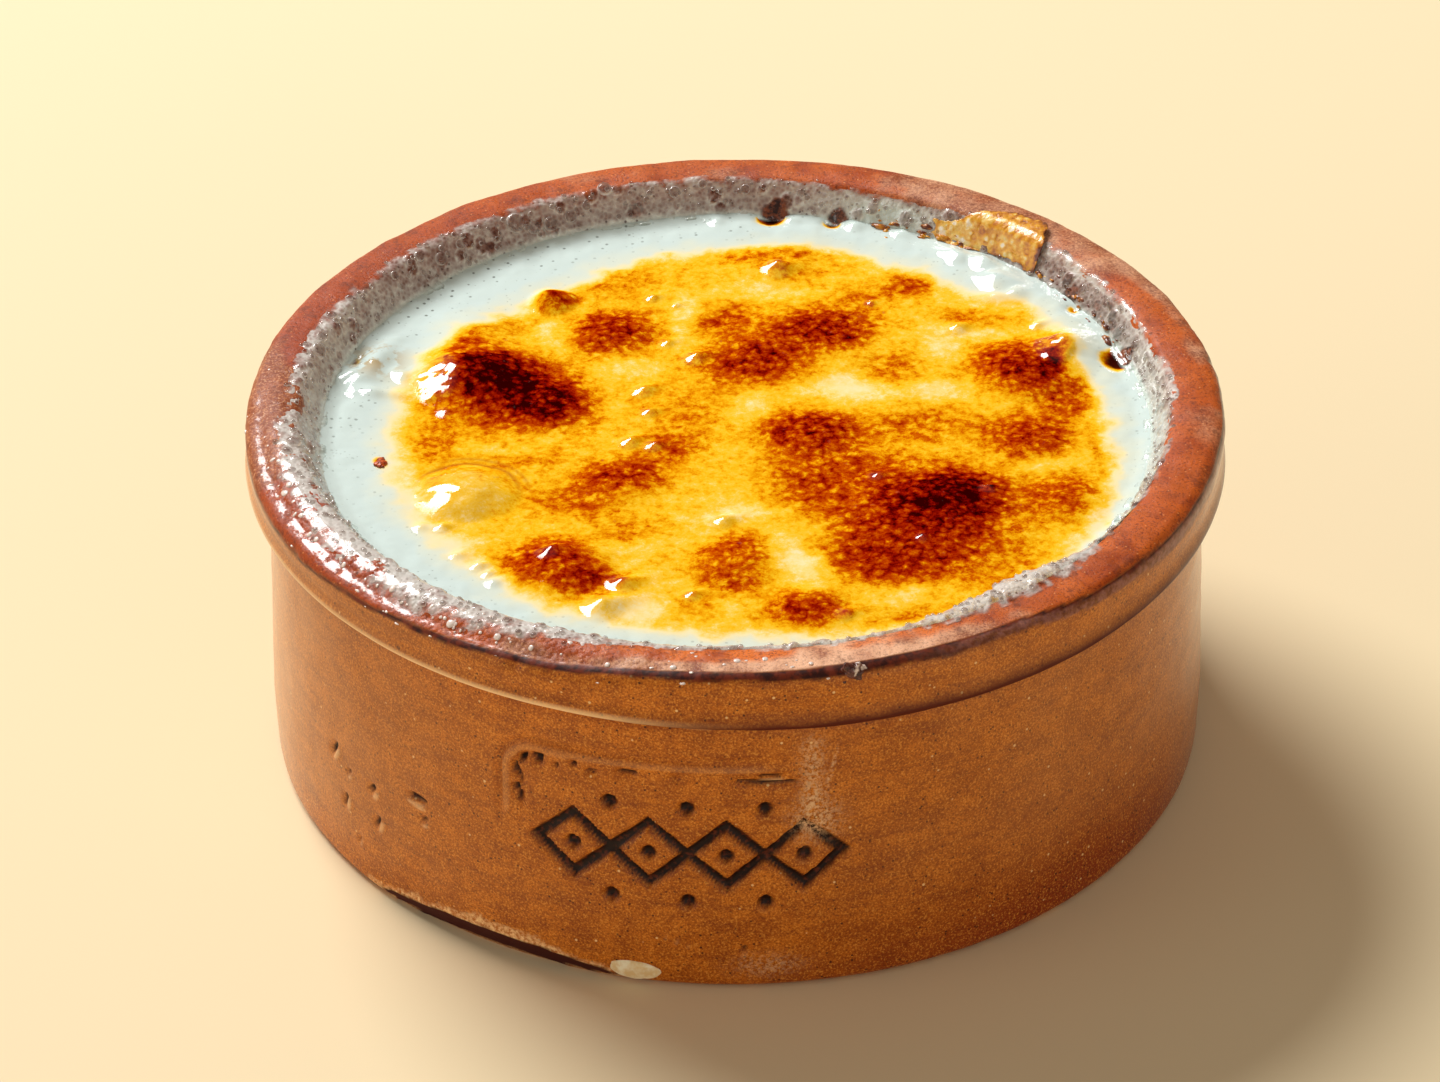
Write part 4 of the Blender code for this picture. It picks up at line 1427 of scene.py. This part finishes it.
# Hollows in the foam that show dark clay: bearing, travel up the wall, half width and strength.
FOAM_HOLES = (
    (173.5, 1.8, 2, 1),
    (164.2, 1.7, 1.4, 0.95),
    (-166, 2.9, 1.3, 0.6),
    (-152.5, 2.8, 1, 0.5),
    (-143, 3.2, 1.4, 0.4),
    (-134, 3.4, 1, 0.5),
    (-114, 3.4, 0.9, 0.7),
    (-107.5, 2.6, 0.6, 0.6),
    (-82.5, 3.6, 0.8, 0.6),
    (-65.5, 3.6, 0.8, 0.9),
    (106.4, 1.5, 1.7, 1),
    (123.5, 2.4, 1.5, 0.8),
    (113, 2.8, 0.8, 0.5),
    (118, 3.4, 0.8, 0.5),
)


def foam_holes(bearings, travel):
    """How plainly the dark clay shows in the foam's hollows."""
    found = np.zeros_like(travel)
    for bearing, up, half_width, strength in FOAM_HOLES:
        across = round_wall(bearings, bearing, FLARE_R)
        wander = 0.35 * noise(flat(across, travel), 1.1, 92)
        away = np.hypot(across, (travel - up) * 1.2) / half_width + wander
        found = np.maximum(found, strength * smooth(1.15, 0.75, away))
    return found


# ---------------------------------------------------------------- scattered small things


def scatter_tree(name, finish):
    """Scatters domes over a surface, more where its mask is high. Sizes are in metres."""
    group = bpy.data.node_groups.new(name, "GeometryNodeTree")
    group.interface.new_socket("Geometry", in_out="INPUT", socket_type="NodeSocketGeometry")
    for label in ("Density", "Smallest", "Largest", "Flatness"):
        group.interface.new_socket(label, in_out="INPUT", socket_type="NodeSocketFloat")
    group.interface.new_socket("Seed", in_out="INPUT", socket_type="NodeSocketInt")
    group.interface.new_socket("Geometry", in_out="OUTPUT", socket_type="NodeSocketGeometry")
    tree = Tree(group)
    entry = tree.made("NodeGroupInput")
    given = {socket.name: Value(tree, socket) for socket in entry.outputs if socket.name}
    mask = tree.node("GeometryNodeInputNamedAttribute", {"data_type": "FLOAT"}, {"Name": "froth"})
    inputs = {"Mesh": given["Geometry"], "Density": mask * given["Density"], "Seed": given["Seed"]}
    scattered = tree.made("GeometryNodeDistributePointsOnFaces", {"distribute_method": "RANDOM"}, inputs)
    points, turn = (Value(tree, scattered.outputs[name]) for name in ("Points", "Rotation"))
    ball = tree.node("GeometryNodeMeshIcoSphere", None, {"Radius": 1.0, "Subdivisions": 2}, "Mesh")
    place = tree.node("GeometryNodeInputPosition")
    up = tree.node("ShaderNodeSeparateXYZ", None, {0: place}, "Z")
    inputs = {"Geometry": ball, "Name": "crown", "Value": up}
    ball = tree.node("GeometryNodeStoreNamedAttribute", {"data_type": "FLOAT", "domain": "POINT"}, inputs)
    inputs = {2: given["Smallest"], 3: given["Largest"], "Seed": given["Seed"]}
    size = tree.node("FunctionNodeRandomValue", {"data_type": "FLOAT"}, inputs, 1)
    shape = tree.node("ShaderNodeCombineXYZ", None, {0: size, 1: size, 2: size * given["Flatness"]})
    inputs = {"Points": points, "Instance": ball, "Rotation": turn, "Scale": shape}
    copies = tree.node("GeometryNodeInstanceOnPoints", None, inputs)
    real = tree.node("GeometryNodeRealizeInstances", None, {"Geometry": copies})
    smoothed = tree.node("GeometryNodeSetShadeSmooth", None, {"Geometry": real})
    painted = tree.node("GeometryNodeSetMaterial", None, {"Geometry": smoothed, "Material": finish})
    tree.made("NodeGroupOutput", None, {"Geometry": painted})
    return group


def scatter(name, surface, finish, slot, **amounts):
    """A piece from what the scattering makes on a surface, as a plain mesh."""
    group = scatter_tree(name, finish)
    holder = placed(name, surface.data)
    modifier = holder.modifiers.new("Scatter", "NODES")
    modifier.node_group = group
    for socket in group.interface.items_tree:
        if socket.in_out == "INPUT" and socket.name in amounts:
            modifier[socket.identifier] = amounts[socket.name]
    bpy.context.view_layer.update()
    graph = bpy.context.evaluated_depsgraph_get()
    mesh = bpy.data.meshes.new_from_object(holder.evaluated_get(graph))
    bpy.data.objects.remove(holder)
    mesh.name = name
    declared(placed(name, mesh))


def make_bubbles(foam):
    amounts = {"Density": 0.42e6, "Smallest": 0.00012, "Largest": 0.00044, "Flatness": 0.8, "Seed": 5}
    scatter("foam_bubbles", foam, bubble_skin(), "baked_pudding", **amounts)


# Large bubbles on the foam: bearing, travel up the wall and radius.
LARGE_BUBBLES = (
    (-148, 4.6, 1.35), (-150.6, 3.4, 0.95), (-153.2, 3.2, 1), (-156.4, 3.5, 0.8),
    (-162.2, 6.2, 1), (-159, 4.4, 0.6), (-131.5, 5.6, 0.75), (-134.6, 4, 0.9),
    (-138.6, 4.6, 0.7), (-126, 5.2, 0.6), (-117, 6.6, 0.55), (-112, 6.7, 0.75),
    (-104, 5.4, 1.15), (-107, 6, 0.75), (-100, 5.6, 0.6), (-95.5, 5, 0.55),
    (-80.5, 6.6, 1), (-78.5, 7.6, 0.7), (-83, 5.6, 0.6), (-77, 5.2, 0.5),
    (-74, 7.8, 0.5), (-70, 6.4, 0.6), (-66, 7.8, 0.55), (-62, 6, 0.5),
    (178, 4.6, 0.7), (170, 4.4, 0.6), (-172, 4.6, 0.8), (-176, 5.4, 0.6),
    (106, 3.6, 0.8), (122, 3.8, 0.7), (116.5, 4.2, 0.5),
)


def make_large_bubbles():
    """Clear domes with milky rims, each a small cap of rings."""
    rings, spokes = 9, 28
    places, faces, crown = [], [], []
    for bearing, travel, size in LARGE_BUBBLES:
        radius, height, out_r, out_z = (float(value) for value in on_foam(travel))
        along, _, _ = wall_axes(bearing)
        middle = np.array(at_bearing(radius, bearing, height))
        outward_way = np.array(at_bearing(out_r, bearing, out_z))
        beside = np.cross(outward_way, along)
        first = len(places)
        for ring in range(rings):
            lean = math.radians(105.0) * (1.0 - ring / rings)
            for spoke in range(spokes):
                turn = 2.0 * math.pi * spoke / spokes
                sideways = math.cos(turn) * np.array(along) + math.sin(turn) * beside
                places.append(middle + size * (math.sin(lean) * sideways + 0.72 * math.cos(lean) * outward_way))
                crown.append(max(0.0, math.cos(lean)))
        places += [middle + 0.72 * size * outward_way, middle - 0.3 * size * outward_way]
        crown += [1.0, 0.0]
        for face in ring_faces(rings, spokes):
            faces.append(tuple(first + corner for corner in face))
        top = first + rings * spokes
        faces += [(a, b, top) for _, a, b in fan(0, list(range(top - spokes, top)), False)]
        faces += [(b, a, top + 1) for _, a, b in fan(0, list(range(first, first + spokes)), False)]
    bubbles = piece("large_bubbles", places, faces, bubble_skin(), {"crown": crown})
    outward(bubbles)


# ---------------------------------------------------------------- crust flake, drips and flecks


def ball(level):
    """Points and faces of a ball of radius 1."""
    form = bmesh.new()
    bmesh.ops.create_icosphere(form, subdivisions=level, radius=1.0)
    unit = np.array([vertex.co for vertex in form.verts])
    faces = [[vertex.index for vertex in face.verts] for face in form.faces]
    form.free()
    return unit, faces


def strewn(lumps, level, bumpy, seed):
    """Points and faces of many small lumps, each given as its middle, its bearing and its half sizes."""
    unit, faces = ball(level)
    places = []
    for index, (middle, bearing, spread) in enumerate(lumps):
        form = unit * (1.0 + bumpy * rough(unit + index * 7.0, 0.9, 3, seed)[:, None])
        places.append(np.array(middle) + (form * spread) @ np.array(wall_axes(bearing)))
    every = [[index * len(unit) + corner for corner in face] for index in range(len(places)) for face in faces]
    return np.concatenate(places), every


def blob(name, middle, axes, spread, finish, lumps=0.18, seed=1, level=5):
    """A lumpy drop: axes are its three directions, and spread its half sizes, in millimetres."""
    unit, faces = ball(level)
    unit = unit * (1.0 + lumps * rough(unit * spread, max(spread) * 0.55, 3, seed)[:, None])
    places = np.array(middle) + (unit * spread) @ np.array(axes)
    piece(name, places, faces, finish, None)


def wall_axes(bearing):
    """Along the wall, up, and out of it, at this bearing."""
    angle = math.radians(bearing)
    return [(math.cos(angle), math.sin(angle), 0.0), (0.0, 0.0, 1.0), (math.sin(angle), -math.cos(angle), 0.0)]


def at_bearing(radius, bearing, height):
    angle = math.radians(bearing)
    return radius * math.sin(angle), -radius * math.cos(angle), height


def flake_path():
    """The line that the flake's underside follows, from the milk up the wall and over the crown."""
    top = HEIGHT - CROWN_DROP
    bend = arc((LIP_R, top - LIP_ROUND), LIP_ROUND + 0.35, flare_facing(), 90.0)
    low = (bend[0][0] - 1.45, LEVEL + 0.9)
    points = np.array([(low[0] - 1.2, LEVEL + 0.55), low, *bend, (RIM - 3.0, HEIGHT + 0.3)])
    return points, run_lengths(points)


# The flake's left end and the angle that it spans, in degrees, and the cells of its mesh.
FLAKE_LEFT, FLAKE_SPAN = 150.0, 18.5
FLAKE_COLUMNS, FLAKE_ROWS = 150, 90


def make_flake():
    """A thin puffed sheet of crust, a wedge that is widest where it lies on the rim."""
    points, lengths = flake_path()
    columns, rows = FLAKE_COLUMNS, FLAKE_ROWS
    share, across = np.meshgrid(np.linspace(0.0, 1.0, columns), np.linspace(0.0, 1.0, rows))
    travel = (0.02 + 0.96 * across) * lengths[-1]
    bearings = FLAKE_LEFT - FLAKE_SPAN * share
    radius, height, out_r, out_z = along_path(travel, points, lengths)
    base = wrapped(radius, bearings, height)
    low = 0.10 - 0.06 * np.sin(6.0 * share) - 0.06 * smooth(0.7, 1.0, share)
    high = 0.36 + 0.60 * smooth(0.04, 0.62, share) - 0.30 * smooth(0.86, 1.0, share)
    ragged = 0.11 * rough(base, 1.9, 4, 106)
    inset = np.minimum(np.minimum(across - low, high - across), np.minimum(share, 1.0 - share) * 1.6)
    inset = inset + ragged
    near, _, name = cells(base, 1.05, 101)
    hole = (near < 0.24) & (name < 0.03) & (inset > 0.05)
    puff = 0.04 * dome(near, 0.7) * (name > 0.25)
    thick = 0.08 + (0.08 + puff + 0.03 * rough(base, 1.8, 3, 102)) * smooth(0.0, 0.12, inset)
    lift = 0.10 + 0.16 * rough(base, 4.0, 2, 103) + 0.25 * smooth(0.6, 1.0, share) * across
    upper = wrapped(radius + out_r * (lift + thick), bearings, height + out_z * (lift + thick))
    lower = wrapped(radius + out_r * lift, bearings, height + out_z * lift)
    # Painted highlight: pale crowns on some puffs and lighter middles on all; the pale patches are creamy crust.
    pale = smooth(0.25, 0.6, noise(base, 1.1, 104)) + 0.8 * bell(near, 0.3) * (name > 0.72)
    toast = 0.56 + 0.30 * rough(base, 1.8, 3, 105) - 0.34 * pale - 0.28 * smooth(0.5, 0.15, near)
    toast = toast + 0.3 * smooth(0.08, 0.0, inset) - 0.35 * smooth(0.45, 0.1, share)
    # Painted shade: the right end is darker; a few puffs have brown middles.
    toast = toast + 0.3 * smooth(0.94, 1.0, share) + 0.3 * smooth(0.5, 0.32, near) * (name < 0.25)
    kept = (inset > 0.0) & ~hole
    quads = grid_faces(rows, columns)
    quads = quads[kept.ravel()[quads].all(axis=1)]
    below = rows * columns
    faces = quads.tolist() + (quads[:, ::-1] + below).tolist()
    ends = {(a, b) for quad in quads.tolist() for a, b in zip(quad, quad[1:] + quad[:1])}
    faces += [(b, a, a + below, b + below) for a, b in sorted(ends) if (b, a) not in ends]
    places = np.concatenate([upper.reshape(-1, 3), lower.reshape(-1, 3)])
    fields = {"toast": np.append(toast, toast + 0.3)}
    flake = piece("crust_sheet", places, faces, crisp_crust(), fields)
    outward(flake)
    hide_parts("crust_flake")


def outward(thing):
    """Makes a closed mesh's faces point out."""
    form = bmesh.new()
    form.from_mesh(thing.data)
    bmesh.ops.delete(form, geom=[vertex for vertex in form.verts if not vertex.link_faces], context="VERTS")
    bmesh.ops.recalc_face_normals(form, faces=form.faces)
    form.to_mesh(thing.data)
    form.free()


# How many crumbs and flecks there are, and how many of them lie close to the flake or far apart.
CRUMBS, CRUMBS_AT_FLAKE = 150, 60
FLECKS, FLECKS_SPREAD_OUT = 230, 130


def chances(index, kind, seed):
    """Four numbers from 0 to 1 for one scattered piece."""
    return (float(hashed(np.array([index, side, kind]), seed)) for side in range(4))


def make_crumbs():
    """Crumbs of crust beside the flake and along the dried foam to its right."""
    lumps = []
    for index in range(CRUMBS):
        around, across, large, long = chances(index, 3, 131)
        bearing = 144.0 + 15.0 * around if index < CRUMBS_AT_FLAKE else 110.0 + 23.0 * around
        radius = 48.6 + 4.2 * across**0.7
        height = LEVEL + 0.05 + 0.75 * max(0.0, radius - 50.0)
        size = 0.18 + 0.55 * large**2
        spread = (size * (0.8 + long), size * 0.6, size * 0.6)
        lumps.append((at_bearing(radius, bearing, height), bearing, spread))
    places, faces = strewn(lumps, 2, 0.8, 111)
    toast = 0.72 + 0.8 * rough(places, 0.8, 2, 112) + 0.3 * (places[:, 1] < 0.8 * places[:, 0])
    piece("crust_crumbs", places, faces, crisp_crust(), {"toast": toast})


def make_flecks():
    """Specks of milk that spat onto the rim and dried, most of them at the front left, where they stand in for
    glints as painted highlights.
    """
    lumps = []
    for index in range(FLECKS):
        around, across, large, long = chances(index, 0, 121)
        bearing = -98.0 + 108.0 * around if index < FLECKS_SPREAD_OUT else -74.0 + 46.0 * around
        radius = LIP_R + 0.2 + 5.0 * across
        height = HEIGHT - 0.05 - 0.9 * max(0.0, (radius - OUTER_R + 0.6) / 1.8) ** 2
        size = 0.13 + 0.30 * large**3
        spread = (size * (0.8 + 0.6 * long), size * 0.45, size)
        lumps.append((at_bearing(radius, bearing, height), bearing, spread))
    places, faces = strewn(lumps, 2, 0.4, 122)
    piece("milk_flecks_and_glints", places, faces, dried_milk_and_glints())


def make_drips():
    sugar = burnt_sugar()
    place = at_bearing(RIM - 0.9, 13.0, HEIGHT - 1.1)
    blob("burnt_drip", place, wall_axes(13.0), (1.7, 1.3, 0.8), sugar, lumps=0.55, seed=4)
    place = at_bearing(RIM - 0.6, 11.6, HEIGHT - 1.7)
    blob("burnt_run", place, wall_axes(11.4), (1.0, 0.8, 0.5), sugar, lumps=0.5, seed=6, level=4)
    place = at_bearing(58.2, -12.7, 2.1)
    blob("glaze_drip", place, wall_axes(-12.7), (3.1, 1.35, 0.5), pale_glaze(), 0.15, 7)
    place = (-43.3, -7.2, LEVEL + 0.1)
    blob("burnt_fleck", place, np.eye(3), (0.8, 1.1, 0.25), crumb_sugar(), lumps=0.6, seed=9, level=4)


# ---------------------------------------------------------------- studio

# Soft boxes: name, direction, distance, width and depth in metres, watts and colour.
SOFTBOXES = (
    ("key_softbox", (-0.432, 0.580, 0.690), 2.0, (1.12, 0.84), 50.0, (1.0, 0.98, 0.97)),
    ("fill_softbox", (0.42, -0.87, 0.27), 1.6, (1.6, 0.6), 4.2, (1.0, 0.88, 0.76)),
    ("side_softbox", (-0.95, -0.24, 0.17), 1.5, (1.0, 0.8), 3.0, (1.0, 0.98, 0.94)),
)
LIT_POINT = Vector((0.0, 0.0, 0.03))
SKY_COLOUR, SKY_STRENGTH = (1.0, 0.85, 0.71, 1.0), 0.27

# The floor lies a hair under the foot. Sizes in metres.
FLOOR_COLOUR, FLOOR_HALF, FLOOR_DROP = (0.86, 0.733, 0.478, 1.0), 2.5, -0.00002

# The camera's angles in degrees, and its distance and target in metres.
ELEVATION, ROLL, DISTANCE = 33.74, -0.70, 0.7
TARGET = Vector((-0.0020, 0.0, 0.02509))
LENS, SENSOR = 140.2, 36.0


def make_floor():
    finish = Finish("studio_floor", Base_Color=FLOOR_COLOUR, Roughness=0.85, Specular_IOR_Level=0.2)
    mesh = bpy.data.meshes.new("studio_floor")
    form = bmesh.new()
    bmesh.ops.create_grid(form, x_segments=1, y_segments=1, size=FLOOR_HALF)
    form.to_mesh(mesh)
    form.free()
    mesh.materials.append(finish.material)
    floor = placed("studio_floor", mesh)
    floor.location.z = FLOOR_DROP


def make_light():
    for name, direction, distance, size, watts, colour in SOFTBOXES:
        light = bpy.data.lights.new(name, "AREA")
        light.shape = "ELLIPSE"
        light.size, light.size_y = size
        light.energy, light.color = watts, colour
        thing = placed(name, light)
        thing.location = Vector(direction) * distance
        thing.rotation_euler = (LIT_POINT - thing.location).to_track_quat("-Z", "Y").to_euler()
    world = bpy.data.worlds.new("studio")
    world.use_nodes = True
    sky = world.node_tree.nodes["Background"]
    sky.inputs["Color"].default_value = SKY_COLOUR
    sky.inputs["Strength"].default_value = SKY_STRENGTH
    bpy.context.scene.world = world
    bpy.context.scene.view_settings.view_transform = "Standard"


def make_camera():
    """Looks down at the front, with a slight roll."""
    elevation, roll = math.radians(ELEVATION), math.radians(ROLL)
    back = Vector((0.0, -math.cos(elevation), math.sin(elevation)))
    side = Vector((1.0, 0.0, 0.0))
    right = side * math.cos(roll) + back.cross(side) * math.sin(roll)
    turn = Matrix((right, back.cross(right), back)).transposed().to_4x4()
    camera = bpy.data.cameras.new("camera")
    camera.lens, camera.sensor_width, camera.sensor_fit = LENS, SENSOR, "HORIZONTAL"
    camera.clip_start = 0.01
    thing = placed("camera", camera)
    thing.matrix_world = Matrix.Translation(TARGET + back * DISTANCE) @ turn
    bpy.context.scene.camera = thing


make_camera()
make_light()
make_floor()
make_dish()
make_pudding()
make_bubbles(make_foam())
make_large_bubbles()
make_flake()
make_crumbs()
make_flecks()
make_drips()
